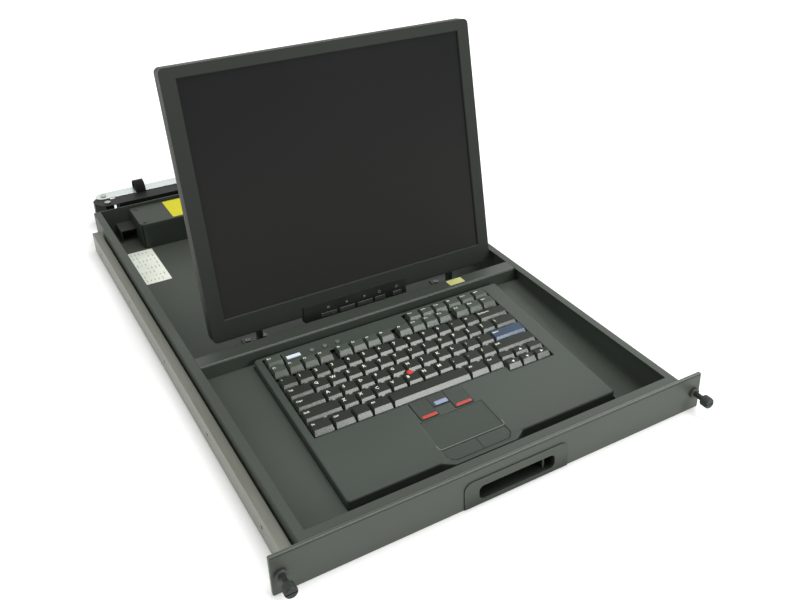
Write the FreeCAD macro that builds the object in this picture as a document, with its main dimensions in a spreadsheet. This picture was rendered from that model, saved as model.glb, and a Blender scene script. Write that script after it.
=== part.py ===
import FreeCAD, Part
import math
import os
import Sketcher

# One rack unit console drawer: a keyboard and a fold-down screen on a sliding tray.
# Frame: X to the right, Y towards the back of the rack, Z up. The origin is the middle of the
# panel's lower edge, on the face that meets the rack's posts. Sizes are in millimetres.

doc = FreeCAD.newDocument("ConsoleDrawer")
sheet = doc.addObject("Spreadsheet::Sheet", "Sizes")

SIZES = [
    # rack face
    ("ear_width", 28.6), ("panel_height", 43.7), ("panel_thick", 3.0), ("ear_screw", 19.86),
    ("groove_depth", 0.6), ("groove_height", 0.9), ("groove_drop", 1.7), ("panel_round", 1.6),
    # clearances that the pieces share
    ("run_gap", 0.3), ("shaft_gap", 0.05), ("seat_gap", 0.05), ("slide_gap", 0.1),
    # captive thumbscrews
    ("ferrule_radius", 4.6), ("ferrule_collar", 5.9), ("ferrule_length", 4.0), ("neck_radius", 2.95),
    ("thread_radius", 2.4), ("thread_length", 9.0), ("ring_radius", 3.7), ("ring_thick", 1.0),
    ("knob_radius", 5.8), ("knob_length", 10.0), ("knob_reach", 25.0), ("knob_slot", 1.4),
    # handle
    ("grip_left", -37.0), ("grip_right", 50.0), ("grip_low", 5.5), ("grip_high", 21.5),
    ("grip_depth", 27.0), ("grip_wall", 1.3), ("grip_round", 5.5), ("plate_left", -53.0),
    ("plate_right", 66.0), ("plate_low", 0.5), ("plate_high", 30.5), ("plate_thick", 1.2),
    ("plate_round", 9.0), ("grip_rib_x", 39.0), ("grip_rib", 2.0),
    # sheet metal tray
    ("tray_width", 425.4), ("tray_depth", 740.0), ("tray_top", 43.0), ("metal", 1.5),
    ("flange", 9.0), ("front_flange", 11.0), ("bend", 1.2), ("cable_gap_inset", 92.7),
    ("cable_gap_width", 60.0), ("cable_gap_low", 14.0),
    # bar across the tray
    ("bar_gap", 5.0), ("bar_depth", 20.0), ("bar_lip", 12.0), ("bar_foot", 14.0), ("bar_round", 2.4),
    # telescopic rails
    ("rail_thick", 12.7), ("rail_height", 28.0), ("rail_end_gap", 38.0), ("rail_start", 12.0),
    ("rail_metal", 1.2), ("rail_mid", 16.5), ("ball_radius", 1.8), ("rail_lip", 2.0),
    ("rail_edge", 2.4), ("mid_edge", 1.8), ("inner_reach", 4.6), ("rail_hole", 2.3),
    ("rail_hole_first", 48.0), ("rail_hole_step", 150.0), ("cage_metal", 1.0),
    ("cage_start", 70.0), ("cage_length", 230.0), ("ball_step", 70.0),
    # keyboard
    ("board_left", -147.0), ("board_width", 317.0), ("board_front", 48.0), ("board_depth", 235.0),
    ("board_front_top", 16.0), ("board_slope", 4.6), ("board_wall", 2.0), ("board_edge", 5.2),
    ("deck_drop", 9.5), ("deck_lead", 4.0), ("board_foot", 2.6), ("base_thick", 1.6), ("board_round", 4.0), ("pitch", 19.05),
    ("row_pitch", 19.5), ("fn_pitch", 17.4), ("arrow_step", 5.5),
    ("field_left", -138.0), ("field_margin", 1.2), ("row_gap", 5.0), ("rows_front", 92.3),
    ("key_gap", 1.6), ("key_taper_x", 2.6), ("key_taper_y", 4.8), ("key_top", 3.4),
    ("key_skirt", 3.0), ("key_stem", 4.0), ("stem_end", 8.4), ("plate_top", 5.9), ("key_plate_thick", 1.2),
    ("bulge_left", -47.0), ("bulge_right", 49.0), ("bulge_reach", 8.5), ("bulge_corner", 12.0),
    ("stick_x", -9.3), ("stick_radius", 3.6),
    ("stick_btn_left", -34.0), ("stick_btn_mid", -13.5), ("stick_btn_right", 6.5),
    ("stick_btn_end", 28.0), ("stick_btn_back", 89.5), ("stick_btn_front", 61.0),
    ("mid_btn_front", 73.0), ("touch_left", -38.0), ("touch_right", 36.0), ("touch_front", 16.5),
    ("touch_back", 58.5), ("pad_btn_front", -2.6), ("pad_btn_back", 14.0), ("pad_btn_split", 1.0),
    ("btn_gap", 0.5), ("btn_drop", 5.0), ("btn_travel", 0.6), ("btn_rise", 0.9), ("touch_sink", 0.5),
    ("bar_btn_x", 24.0), ("bar_btn_width", 16.0),
    ("bar_btn_depth", 5.0), ("round_btn_x", 54.0), ("round_btn_step", 15.6), ("round_btn_radius", 2.7),
    # screen
    ("border_side", 18.05), ("border_top", 14.7), ("screen_x", 15.5), ("screen_tilt", 10.0),
    ("view_width", 337.9), ("view_height", 270.3), ("view_low", 27.0), ("view_shift", 1.0),
    ("view_gap", 1.5), ("view_bevel", 1.0), ("bezel_thick", 2.5), ("bezel_depth", 9.0), ("shell_wall", 2.0),
    ("screen_round", 6.0), ("screen_depth", 18.0), ("glass_border", 5.0), ("glass_depth", 8.3),
    ("frame_metal", 1.2), ("bulge_depth", 5.5), ("bulge_inset", 42.0),
    ("vent_step", 9.0), ("vent_length", 46.0), ("vent_width", 3.0),
    ("hinge_behind", 66.0), ("hinge_z", 31.5), ("hinge_back", 10.0), ("hinge_up", 4.0),
    ("hinge_offset", 130.0), ("pin_radius", 2.5), ("knuckle_radius", 5.0), ("knuckle_length", 9.4),
    ("leaf_width", 28.0), ("leaf_height", 46.0), ("notch_width", 34.0), ("notch_height", 22.0),
    ("leaf_metal", 1.5), ("web_width", 6.0), ("hinge_foot", 16.0),
    # control strip under the screen
    ("strip_left", -77.0), ("strip_right", 60.0), ("strip_drop", 8.0), ("strip_rise", 12.0),
    ("strip_proud", 1.6), ("strip_depth", 7.0), ("strip_btn_low", -6.6), ("strip_btn_high", -1.6),
    ("menu_x", 21.5), ("menu_width", 20.0),
    ("left_x", 46.5), ("left_width", 19.0), ("right_x", 70.0), ("right_width", 19.5), ("auto_x", 93.5),
    ("auto_width", 13.5), ("power_x", 118.5), ("power_width", 11.5), ("strip_btn_proud", 0.7), ("strip_btn_travel", 1.0), ("strip_btn_depth", 4.0),
    # electronics box in the rear bay
    ("box_inset", 47.7), ("box_width", 150.0), ("box_gap", 4.0), ("box_depth", 64.0),
    ("box_top", 39.0), ("box_wall", 2.0), ("lid_thick", 3.0), ("box_round", 8.0),
    ("clip_inset", 9.7), ("clip_top", 20.0), ("clip_depth", 30.0),
    # folding cable arm behind the tray
    ("arm_inset", 26.7), ("arm_low", 5.0), ("arm_high", 39.0),
    ("arm_behind", 34.0), ("arm_step", 27.0), ("arm_depth", 22.0), ("arm_metal", 1.2),
    ("arm_tab", 9.0), ("arm_end", 14.0), ("tab_gap", 1.0), ("elbow_tip", 17.0), ("bracket_lap", 60.0),
    ("tail_radius", 13.0), ("arm_pin", 3.0), ("strap_x", -140.0), ("strap_width", 14.0), ("strap_thick", 1.6),
    # screws
    ("screw_head", 3.2), ("screw_head_thick", 1.6), ("screw_shank", 1.5),
]


class Size:
    """A number together with the sheet formula that gives it."""

    def __init__(self, value, text, rank=9):
        self.value = value
        self.text = text
        self.rank = rank

    def join(self, other, sign, value, rank, swap=False):
        other = size(other)
        first, second = (other, self) if swap else (self, other)
        left = first.text if first.rank >= rank else "(" + first.text + ")"
        right = second.text if second.rank > rank else "(" + second.text + ")"
        return Size(value, left + " " + sign + " " + right, rank)

    def __add__(self, other):
        return self.join(other, "+", self.value + size(other).value, 1)

    def __radd__(self, other):
        return self.join(other, "+", self.value + size(other).value, 1, True)

    def __sub__(self, other):
        return self.join(other, "-", self.value - size(other).value, 1)

    def __rsub__(self, other):
        return self.join(other, "-", size(other).value - self.value, 1, True)

    def __mul__(self, other):
        return self.join(other, "*", self.value * size(other).value, 2)

    def __rmul__(self, other):
        return self.join(other, "*", self.value * size(other).value, 2, True)

    def __truediv__(self, other):
        return self.join(other, "/", self.value / size(other).value, 2)

    def __neg__(self):
        return Size(-self.value, "-1 * (" + self.text + ")", 2)


def size(given):
    if isinstance(given, Size):
        return given
    text = repr(float(given))
    return Size(float(given), text if given >= 0 else "(" + text + ")")


def sin(angle):
    return Size(math.sin(math.radians(angle.value)), "sin((" + angle.text + ") * 1 deg)")


def cos(angle):
    return Size(math.cos(math.radians(angle.value)), "cos((" + angle.text + ") * 1 deg)")


def tan(angle):
    return Size(math.tan(math.radians(angle.value)), "tan((" + angle.text + ") * 1 deg)")


class Named:
    """Named sizes, read as n.tray_width and the like."""


n = Named()
for row, (name, number) in enumerate(SIZES, 1):
    sheet.set("A%d" % row, name)
    sheet.set("B%d" % row, repr(number))
    sheet.setAlias("B%d" % row, name)
    setattr(n, name, Size(float(number), "Sizes." + name))
doc.recompute()


def bind(obj, prop, given):
    given = size(given)
    if "Sizes." in given.text:
        obj.setExpression(prop, given.text)
    elif "." not in prop:
        setattr(obj, prop, given.value)
    else:
        obj.setExpression(prop, given.text)


def place(obj, x=0, y=0, z=0):
    for axis, given in (("x", x), ("y", y), ("z", z)):
        bind(obj, "Placement.Base." + axis, given)


def turn(obj, axis, angle):
    """Turn an object about an axis through its own base; the angle may be a named size."""
    obj.Placement.Rotation = FreeCAD.Rotation(FreeCAD.Vector(*axis), size(angle).value)
    if "Sizes." in size(angle).text:
        obj.setExpression("Placement.Rotation.Angle", size(angle).text)


# Plain solids and how they are joined

def block(x0, x1, y0, y1, z0, z1):
    obj = doc.addObject("Part::Box", "Block")
    for prop, low, high in (("Length", x0, x1), ("Width", y0, y1), ("Height", z0, z1)):
        bind(obj, prop, size(high) - low)
    place(obj, x0, y0, z0)
    return obj


def rod(x, y, z, radius, length, axis=(0, 0, 1)):
    obj = doc.addObject("Part::Cylinder", "Rod")
    bind(obj, "Radius", radius)
    bind(obj, "Height", length)
    obj.Placement.Rotation = FreeCAD.Rotation(FreeCAD.Vector(0, 0, 1), FreeCAD.Vector(*axis))
    place(obj, x, y, z)
    return obj


def join(*parts):
    if len(parts) == 1:
        return parts[0]
    obj = doc.addObject("Part::MultiFuse", "Join")
    obj.Shapes = list(parts)
    obj.Refine = True
    return obj


def less(base, *tools):
    obj = doc.addObject("Part::Cut", "Less")
    obj.Base = base
    obj.Tool = join(*tools)
    obj.Refine = True
    return obj


def group(*parts):
    obj = doc.addObject("Part::Compound", "Group")
    obj.Links = list(parts)
    return obj


def mirrored(source):
    obj = doc.addObject("Part::Mirroring", "Mirror")
    obj.Source = source
    obj.Normal = FreeCAD.Vector(1, 0, 0)
    return obj


def find_edges(shape, axis, spots, near=0.4):
    """Numbers of the straight edges along an axis that pass the given spots."""
    which = "xyz".index(axis)
    others = [i for i in range(3) if i != which]
    found = []
    for number, edge in enumerate(shape.Edges, 1):
        ends = [v.Point for v in edge.Vertexes]
        if len(ends) != 2 or edge.Curve.TypeId != "Part::GeomLine":
            continue
        if any(abs(ends[0][i] - ends[1][i]) > 1e-4 for i in others):
            continue
        middle = (ends[0] + ends[1]) * 0.5
        for spot in spots:
            if all(abs(middle[i] - size(s).value) < near for i, s in zip(others, spot)):
                found.append(number)
                break
    return found


# Sketched bodies

ROLES = {"XY": "XY_Plane", "XZ": "XZ_Plane", "YZ": "YZ_Plane"}


def new_body(name):
    return doc.addObject("PartDesign::Body", name)


def sketch_on(body, plane, offset=0):
    """A sketch on one of the body's origin planes; the offset runs along +Z, +Y or +X."""
    obj = body.newObject("Sketcher::SketchObject", "Sketch")
    base = [f for f in body.Origin.OriginFeatures if f.Role == ROLES[plane]][0]
    obj.AttachmentSupport = [(base, "")]
    obj.MapMode = "FlatFace"
    given = size(offset)
    bind(obj, "AttachmentOffset.Base.z", -given if plane == "XZ" else given)
    return obj


def fix_point(sk, line, end, x, y):
    for kind, given, rail in (("DistanceX", size(x), -2), ("DistanceY", size(y), -1)):
        if abs(given.value) < 1e-9 and "Sizes." not in given.text:
            sk.addConstraint(Sketcher.Constraint("PointOnObject", line, end, rail))
            continue
        index = sk.addConstraint(Sketcher.Constraint(kind, -1, 1, line, end, given.value))
        if "Sizes." in given.text:
            sk.setExpression("Constraints[%d]" % index, given.text)


def polygon(sk, points):
    vectors = [FreeCAD.Vector(size(x).value, size(y).value, 0) for x, y in points]
    first = sk.GeometryCount
    count = len(points)
    for i in range(count):
        sk.addGeometry(Part.LineSegment(vectors[i], vectors[(i + 1) % count]), False)
    for i in range(count):
        sk.addConstraint(Sketcher.Constraint("Coincident", first + i, 2, first + (i + 1) % count, 1))
    for i, (x, y) in enumerate(points):
        fix_point(sk, first + i, 1, x, y)


def rectangle(sk, x0, x1, y0, y1):
    polygon(sk, [(x0, y0), (x1, y0), (x1, y1), (x0, y1)])


def circle(sk, x, y, radius):
    spot = FreeCAD.Vector(size(x).value, size(y).value, 0)
    index = sk.addGeometry(Part.Circle(spot, FreeCAD.Vector(0, 0, 1), size(radius).value), False)
    fix_point(sk, index, 3, x, y)
    held = sk.addConstraint(Sketcher.Constraint("Radius", index, size(radius).value))
    if "Sizes." in size(radius).text:
        sk.setExpression("Constraints[%d]" % held, size(radius).text)


def pad(body, sk, length, back=False, middle=False):
    obj = body.newObject("PartDesign::Pad", "Pad")
    obj.Profile = sk
    bind(obj, "Length", length)
    obj.Reversed = back
    obj.Midplane = middle
    body.Tip = obj
    doc.recompute()
    return obj


def pocket(body, sk, length=None, back=False, middle=False):
    before = body.Shape.Volume
    obj = body.newObject("PartDesign::Pocket", "Pocket")
    obj.Profile = sk
    obj.Midplane = middle
    if length is None:
        obj.Type = 1
    else:
        bind(obj, "Length", length)
    obj.Reversed = back
    body.Tip = obj
    doc.recompute()
    if not body.Shape.Volume < before - 1e-3:
        raise RuntimeError("a pocket took nothing from " + body.Name)
    return obj


def dress(body, kind, prop, edges, given):
    """Round or bevel edges; each entry of edges is (axis, spots)."""
    tip = body.Tip
    numbers = [i for axis, spots in edges for i in find_edges(tip.Shape, axis, spots)]
    if not numbers:
        raise RuntimeError("no edge to dress on " + body.Name)
    obj = body.newObject("PartDesign::" + kind, kind)
    obj.Base = (tip, ["Edge%d" % i for i in numbers])
    bind(obj, prop, given)
    body.Tip = obj
    doc.recompute()
    return obj


def fillet(body, axis, spots, radius):
    return dress(body, "Fillet", "Radius", [(axis, spots)], radius)


def bevel(body, edges, width):
    return dress(body, "Chamfer", "Size", edges, width)


def profile_body(name, plane, points, length, offset=0, back=False, middle=False):
    body = new_body(name)
    sk = sketch_on(body, plane, offset)
    polygon(sk, points)
    pad(body, sk, length, back, middle)
    return body


def revolved(name, points):
    """A turned part: points are (radius, y) pairs, spun about the Y axis of the body."""
    body = new_body(name)
    sk = sketch_on(body, "XY")
    polygon(sk, points)
    obj = body.newObject("PartDesign::Revolution", "Turned")
    obj.Profile = sk
    obj.ReferenceAxis = (sk, ["V_Axis"])
    obj.Angle = 360
    body.Tip = obj
    doc.recompute()
    return body


nodes = []


def node(name, obj):
    obj.Label = name
    nodes.append((name, obj))
    return obj


half = n.tray_width / 2
inner_half = half - n.metal
mouth_half = half - n.flange
panel_half = half + n.ear_width
screw_x = half + n.ear_screw
clip_left = -half + n.clip_inset
box_left = -half + n.box_inset
arm_pivot_x = half - n.arm_inset
elbow_x = -arm_pivot_x
cable_gap_x = half - n.cable_gap_inset
screen_width = n.view_width + n.border_side * 2
screen_height = n.view_height + n.view_low + n.border_top

board_back = n.board_front + n.board_depth
board_right = n.board_left + n.board_width
bar_y = board_back + n.bar_gap
hinge_y = bar_y + n.hinge_behind
box_front = n.tray_depth - n.box_gap - n.box_depth
tray_arm_y = n.tray_depth + n.arm_behind
rack_arm_y = tray_arm_y + n.arm_step
rail_length = n.tray_depth - n.rail_start - n.rail_end_gap
slope = tan(n.board_slope)


def board_z(y):
    """The height of the keyboard's sloping top at a given Y."""
    return n.board_front_top + (y - n.board_front) * slope


# Tray: one folded sheet with a floor, two sides with inward flanges, a front and a rear wall

tray = profile_body("Tray", "XZ", [
    (-half, 0), (half, 0), (half, n.tray_top), (mouth_half, n.tray_top),
    (mouth_half, n.tray_top - n.metal), (inner_half, n.tray_top - n.metal),
    (inner_half, n.metal), (-inner_half, n.metal),
    (-inner_half, n.tray_top - n.metal), (-mouth_half, n.tray_top - n.metal),
    (-mouth_half, n.tray_top), (-half, n.tray_top)], n.tray_depth, back=True)
front = sketch_on(tray, "YZ")
polygon(front, [
    (0, 0), (n.metal, 0), (n.metal, n.tray_top - n.metal), (n.front_flange, n.tray_top - n.metal),
    (n.front_flange, n.tray_top), (0, n.tray_top)])
pad(tray, front, n.tray_width, middle=True)
deck_front = n.board_front - n.deck_lead
deck_back = bar_y - n.run_gap
deck = sketch_on(tray, "YZ")
polygon(deck, [
    (deck_front, 0), (deck_front + n.metal, 0),
    (deck_front + n.metal, board_z(deck_front) - n.deck_drop - n.metal),
    (deck_back, board_z(deck_back) - n.deck_drop - n.metal),
    (deck_back, board_z(deck_back) - n.deck_drop), (deck_front, board_z(deck_front) - n.deck_drop)])
pad(tray, deck, n.tray_width, middle=True)
deck_window = sketch_on(tray, "XY", n.tray_top)
rectangle(deck_window, n.board_left - n.btn_gap, board_right + n.btn_gap,
          deck_front - 1, board_back + n.btn_gap)
pocket(tray, deck_window, n.tray_top - n.metal)
rear = sketch_on(tray, "YZ")
rectangle(rear, n.tray_depth - n.metal, n.tray_depth, 0, n.tray_top)
pad(tray, rear, n.tray_width, middle=True)

cup_left = n.grip_left - n.grip_wall
cup_right = n.grip_right + n.grip_wall
cup_low = n.grip_low - n.grip_wall
cup_high = n.grip_high + n.grip_wall
window = sketch_on(tray, "XZ", -n.metal)
rectangle(window, cup_left - n.run_gap, cup_right + n.run_gap,
          cup_low - n.run_gap, cup_high + n.run_gap)
pocket(tray, window, n.metal * 3)
outlet = sketch_on(tray, "XZ", n.tray_depth - n.metal * 2)
rectangle(outlet, cable_gap_x, cable_gap_x + n.cable_gap_width,
          n.cable_gap_low, n.tray_top + 1)
pocket(tray, outlet, n.metal * 3)
fillet(tray, "y", [(side * half, z) for side in (-1, 1) for z in (0, n.tray_top)], n.bend)

hinge_spots = [n.screen_x - n.hinge_offset, n.screen_x + n.hinge_offset]
foot_y = hinge_y + n.hinge_foot
floor_screws = [(x + side * 10, foot_y) for x in hinge_spots for side in (-1, 1)]
floor_screws += [(side * 150, bar_y + n.bar_foot / 2 + n.metal / 2) for side in (-1, 1)]
floor_screws += [(clip_left + 9, n.tray_depth - n.metal - n.clip_depth / 2)]
drill = sketch_on(tray, "XY", n.metal)
for x, y in floor_screws:
    circle(drill, x, y, n.screw_shank + n.slide_gap)
pocket(tray, drill, n.metal)
node("tray", tray)

# Bar across the tray, with a rounded front lip and a foot on the floor
bar_back = bar_y + n.bar_depth
bar_top = n.tray_top
crossbar = profile_body("Crossbar", "YZ", [
    (bar_y, n.metal), (bar_y + n.bar_foot, n.metal), (bar_y + n.bar_foot, n.metal * 2),
    (bar_y + n.metal, n.metal * 2), (bar_y + n.metal, bar_top - n.metal),
    (bar_back - n.metal, bar_top - n.metal), (bar_back - n.metal, bar_top - n.bar_lip),
    (bar_back, bar_top - n.bar_lip), (bar_back, bar_top), (bar_y, bar_top)],
    (mouth_half - n.run_gap) * 2, middle=True)
fillet(crossbar, "x", [(bar_y, bar_top)], n.bar_round)
fillet(crossbar, "x", [(bar_back, bar_top)], n.bend)
bar_drill = sketch_on(crossbar, "XY", n.metal * 2)
for x, y in floor_screws[4:6]:
    circle(bar_drill, x, y, n.screw_shank + n.slide_gap)
pocket(crossbar, bar_drill, n.metal)
node("crossbar", crossbar)

# Front panel with its groove, the handle's window and the two thumbscrew holes
panel = new_body("FrontPanel")
face = sketch_on(panel, "XZ")
rectangle(face, -panel_half, panel_half, 0, n.panel_height)
pad(panel, face, n.panel_thick)
holes = sketch_on(panel, "XZ", -n.panel_thick * 2)
rectangle(holes, cup_left - n.seat_gap, cup_right + n.seat_gap,
          cup_low - n.seat_gap, cup_high + n.seat_gap)
for side in (-1, 1):
    circle(holes, side * screw_x, n.panel_height / 2, n.ferrule_radius + n.seat_gap)
pocket(panel, holes, n.panel_thick * 2)
groove = sketch_on(panel, "XZ", -n.panel_thick * 2)
groove_top = n.panel_height - n.groove_drop
rectangle(groove, -panel_half - 1, panel_half + 1, groove_top - n.groove_height, groove_top)
pocket(panel, groove, n.panel_thick + n.groove_depth)
corners = [(side * panel_half, z) for side in (-1, 1) for z in (0, n.panel_height)]
fillet(panel, "y", corners, n.panel_round)
node("front_panel", panel)

# Handle: a moulded cup that passes through the panel, with a raised plate on the face
cup = new_body("Handle")
face_y = -n.panel_thick
plate = sketch_on(cup, "XZ", face_y)
rectangle(plate, n.plate_left, n.plate_right, n.plate_low, n.plate_high)
pad(cup, plate, n.plate_thick)
fillet(cup, "y", [(n.plate_left, n.plate_high), (n.plate_right, n.plate_high)], n.plate_round)
shell = sketch_on(cup, "XZ", face_y)
rectangle(shell, cup_left, cup_right, cup_low, cup_high)
pad(cup, shell, n.panel_thick + n.grip_depth + n.grip_wall, back=True)
hollow = new_body("HandleHollow")
mouth = sketch_on(hollow, "XZ", face_y - n.plate_thick - 1)
rectangle(mouth, n.grip_left, n.grip_right, n.grip_low, n.grip_high)
pad(hollow, mouth, n.plate_thick + 1 + n.panel_thick + n.grip_depth, back=True)
fillet(hollow, "y", [(x, z) for x in (n.grip_left, n.grip_right)
                     for z in (n.grip_low, n.grip_high)], n.grip_round)
rib = block(n.grip_rib_x, n.grip_rib_x + n.grip_rib, face_y + 4, n.grip_depth,
            n.grip_low, n.grip_high)
node("handle_cup", join(less(cup, hollow), rib))

# Thumbscrews: a ferrule fixed in the panel and a captive screw that spins in it
screw_z = n.panel_height / 2
bore = n.neck_radius + n.shaft_gap
collar_y = face_y - n.ferrule_length
ferrule = revolved("Ferrule", [
    (bore, 0), (n.ferrule_radius, 0), (n.ferrule_radius, face_y), (n.ferrule_collar, face_y),
    (n.ferrule_collar, collar_y + 0.8), (n.ferrule_collar - 0.8, collar_y), (bore, collar_y)])
place(ferrule, screw_x, 0, screw_z)
node("thumbscrew_ferrules", group(ferrule, mirrored(ferrule)))
knob_front = face_y - n.knob_reach
knob_back = knob_front + n.knob_length
screw_body = revolved("Thumbscrew", [
    (0, knob_front), (n.knob_radius - 0.8, knob_front), (n.knob_radius, knob_front + 0.8),
    (n.knob_radius, knob_back - 0.6), (n.knob_radius - 0.6, knob_back), (n.neck_radius, knob_back),
    (n.neck_radius, n.run_gap), (n.ring_radius, n.run_gap), (n.ring_radius, n.run_gap + n.ring_thick),
    (n.thread_radius, n.run_gap + n.ring_thick), (n.thread_radius, n.thread_length - 0.7),
    (n.thread_radius - 0.7, n.thread_length), (0, n.thread_length)])
slot = sketch_on(screw_body, "XZ", knob_front - 1)
rectangle(slot, -n.knob_radius, n.knob_radius, -n.knob_slot / 2, n.knob_slot / 2)
pocket(screw_body, slot, 3)
place(screw_body, screw_x, 0, screw_z)
node("thumbscrew_right", screw_body)
node("thumbscrew_left", mirrored(screw_body))


# Telescopic rails: profiles drawn for the right side and mirrored to the left
def rail_profile(points):
    full = list(points) + [(u, -v) for u, v in reversed(points)]
    return [(half + u, n.rail_mid + v) for u, v in full]


rail_half = n.rail_height / 2
rail_web = n.rail_thick - n.rail_metal
race = rail_half - n.rail_metal
ball_room = n.ball_radius * 2 + n.slide_gap * 2
mid_half = race - ball_room
mid_web = n.inner_reach + n.cage_metal
inner_top = mid_half - n.rail_metal - ball_room

outer_rail = profile_body("OuterRail", "XZ", rail_profile([
    (rail_web, race), (n.rail_edge + n.rail_metal, race),
    (n.rail_edge + n.rail_metal, race - n.rail_lip), (n.rail_edge, race - n.rail_lip),
    (n.rail_edge, rail_half), (n.rail_thick, rail_half)][::-1]),
    rail_length, offset=n.rail_start, back=True)
rail_holes = sketch_on(outer_rail, "YZ", half + n.rail_thick + 1)
hole_ys = [n.rail_start + n.rail_hole_first + n.rail_hole_step * i for i in range(5)]
for y in hole_ys:
    circle(rail_holes, y, n.rail_mid, n.rail_hole)
pocket(outer_rail, rail_holes, 4)
node("outer_rail_right", outer_rail)
node("outer_rail_left", mirrored(outer_rail))

mid_rail = profile_body("MidRail", "XZ", rail_profile([
    (rail_web - n.run_gap * 3, mid_half), (n.mid_edge, mid_half),
    (n.mid_edge, mid_half - n.rail_metal), (mid_web, mid_half - n.rail_metal)]), rail_length,
    offset=n.rail_start, back=True)
groove_cut = sketch_on(mid_rail, "XZ", n.rail_start - 1)
rectangle(groove_cut, half + mid_web + n.rail_metal, half + n.rail_thick,
          n.rail_mid - mid_half + n.rail_metal, n.rail_mid + mid_half - n.rail_metal)
pocket(mid_rail, groove_cut)
node("mid_rail_right", mid_rail)
node("mid_rail_left", mirrored(mid_rail))

inner_rail = profile_body("InnerRail", "XZ", rail_profile([
    (0, inner_top), (n.inner_reach, inner_top), (n.inner_reach, inner_top - n.rail_metal),
    (n.rail_metal, inner_top - n.rail_metal)]), rail_length, offset=n.rail_start, back=True)
node("inner_rail_right", inner_rail)
node("inner_rail_left", mirrored(inner_rail))


def ball_strip(x, z):
    """One cage: a thin strip with its balls."""
    strip = block(half + x - n.ball_radius * 1.15, half + x + n.ball_radius * 1.15, n.cage_start,
                  n.cage_start + n.cage_length, z - n.cage_metal / 2, z + n.cage_metal / 2)
    balls = []
    for i in range(3):
        ball = doc.addObject("Part::Sphere", "Ball")
        bind(ball, "Radius", n.ball_radius)
        place(ball, half + x, n.cage_start + n.cage_length / 2 + n.ball_step * (i - 1), z)
        balls.append(ball)
    return join(strip, *balls)


outer_x = (mid_web + rail_web) / 2
inner_x = n.rail_metal + (n.inner_reach - n.rail_metal) / 2 + n.cage_metal / 2
cages = group(*[ball_strip(x, n.rail_mid + side * v) for side in (-1, 1)
                for x, v in ((outer_x, race - ball_room / 2),
                             (inner_x, inner_top + ball_room / 2))])
node("ball_cages", group(cages, mirrored(cages)))

# Keyboard. Its upper faces share one slope, so keys and buttons are made flat and then tilted.


def tilted(obj):
    turn(obj, (1, 0, 0), n.board_slope)
    place(obj, 0, n.board_front, n.board_front_top)
    return obj


def along(t):
    """The Y of a spot that lies t up the slope."""
    return n.board_front + t * cos(n.board_slope)


row_front = {1: n.rows_front}
for row in range(2, 6):
    row_front[row] = row_front[row - 1] + n.row_pitch
row_front[6] = row_front[5] + n.row_pitch + n.row_gap
row_front[7] = row_front[6] + n.fn_pitch
field_back = row_front[7] + n.fn_pitch
field_right = n.field_left + n.pitch * 15
arrow_depth = n.row_pitch - n.arrow_step
arrow_front = row_front[2] - arrow_depth * 2
arrow_left = n.field_left + n.pitch * 12
nose = [(n.bulge_left, n.board_front), (n.bulge_left + n.bulge_corner, n.board_front - n.bulge_reach),
        (n.bulge_right - n.bulge_corner, n.board_front - n.bulge_reach),
        (n.bulge_right, n.board_front)]

housing = profile_body("KeyboardTop", "YZ", [
    (n.board_front, n.board_edge), (board_back, n.board_edge), (board_back, board_z(board_back)),
    (n.board_front, n.board_front_top)], n.board_width, offset=n.board_left)
fillet(housing, "z", [(x, y) for x in (n.board_left, board_right)
                      for y in (n.board_front, board_back)], n.board_round)
fillet(housing, "x", [(n.board_front, n.board_front_top)], n.board_wall)
bulge = sketch_on(housing, "XY", n.board_edge)
polygon(bulge, nose + [(n.bulge_right, n.board_front + n.board_wall * 2),
                       (n.bulge_left, n.board_front + n.board_wall * 2)])
pad(housing, bulge, board_z(n.board_front - n.bulge_reach) - n.board_edge)
inside = sketch_on(housing, "YZ", board_right - n.board_wall)
inner_front = n.board_front + n.board_wall
inner_back = board_back - n.board_wall
polygon(inside, [
    (inner_front, 0), (inner_back, 0), (inner_back, board_z(inner_back) - n.board_wall),
    (inner_front, board_z(inner_front) - n.board_wall)])
pocket(housing, inside, n.board_width - n.board_wall * 2)

margin = n.field_margin
well = sketch_on(housing, "XY", n.tray_top)
polygon(well, [
    (n.field_left - margin, along(n.rows_front) - margin),
    (arrow_left - margin, along(n.rows_front) - margin),
    (arrow_left - margin, along(arrow_front) - margin),
    (field_right + margin, along(arrow_front) - margin),
    (field_right + margin, along(field_back) + margin),
    (n.field_left + n.pitch * 9, along(field_back) + margin),
    (n.field_left + n.pitch * 9, along(row_front[7])),
    (n.field_left + n.pitch * 1.1, along(row_front[7])),
    (n.field_left + n.pitch * 1.1, along(field_back) + margin),
    (n.field_left - margin, along(field_back) + margin)])
pocket(housing, well)
gap = n.btn_gap
openings = sketch_on(housing, "XY", n.tray_top)
polygon(openings, [
    (n.stick_btn_left - gap, along(n.stick_btn_front) - gap),
    (n.stick_btn_mid, along(n.stick_btn_front) - gap),
    (n.stick_btn_mid, along(n.mid_btn_front) - gap),
    (n.stick_btn_right, along(n.mid_btn_front) - gap),
    (n.stick_btn_right, along(n.stick_btn_front) - gap),
    (n.stick_btn_end + gap, along(n.stick_btn_front) - gap),
    (n.stick_btn_end + gap, along(n.stick_btn_back) + gap),
    (n.stick_btn_left - gap, along(n.stick_btn_back) + gap)])
rectangle(openings, n.touch_left - n.slide_gap, n.touch_right + n.slide_gap,
          along(n.touch_front) - n.slide_gap, along(n.touch_back) + gap)
cutback = n.bulge_corner / 2
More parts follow.
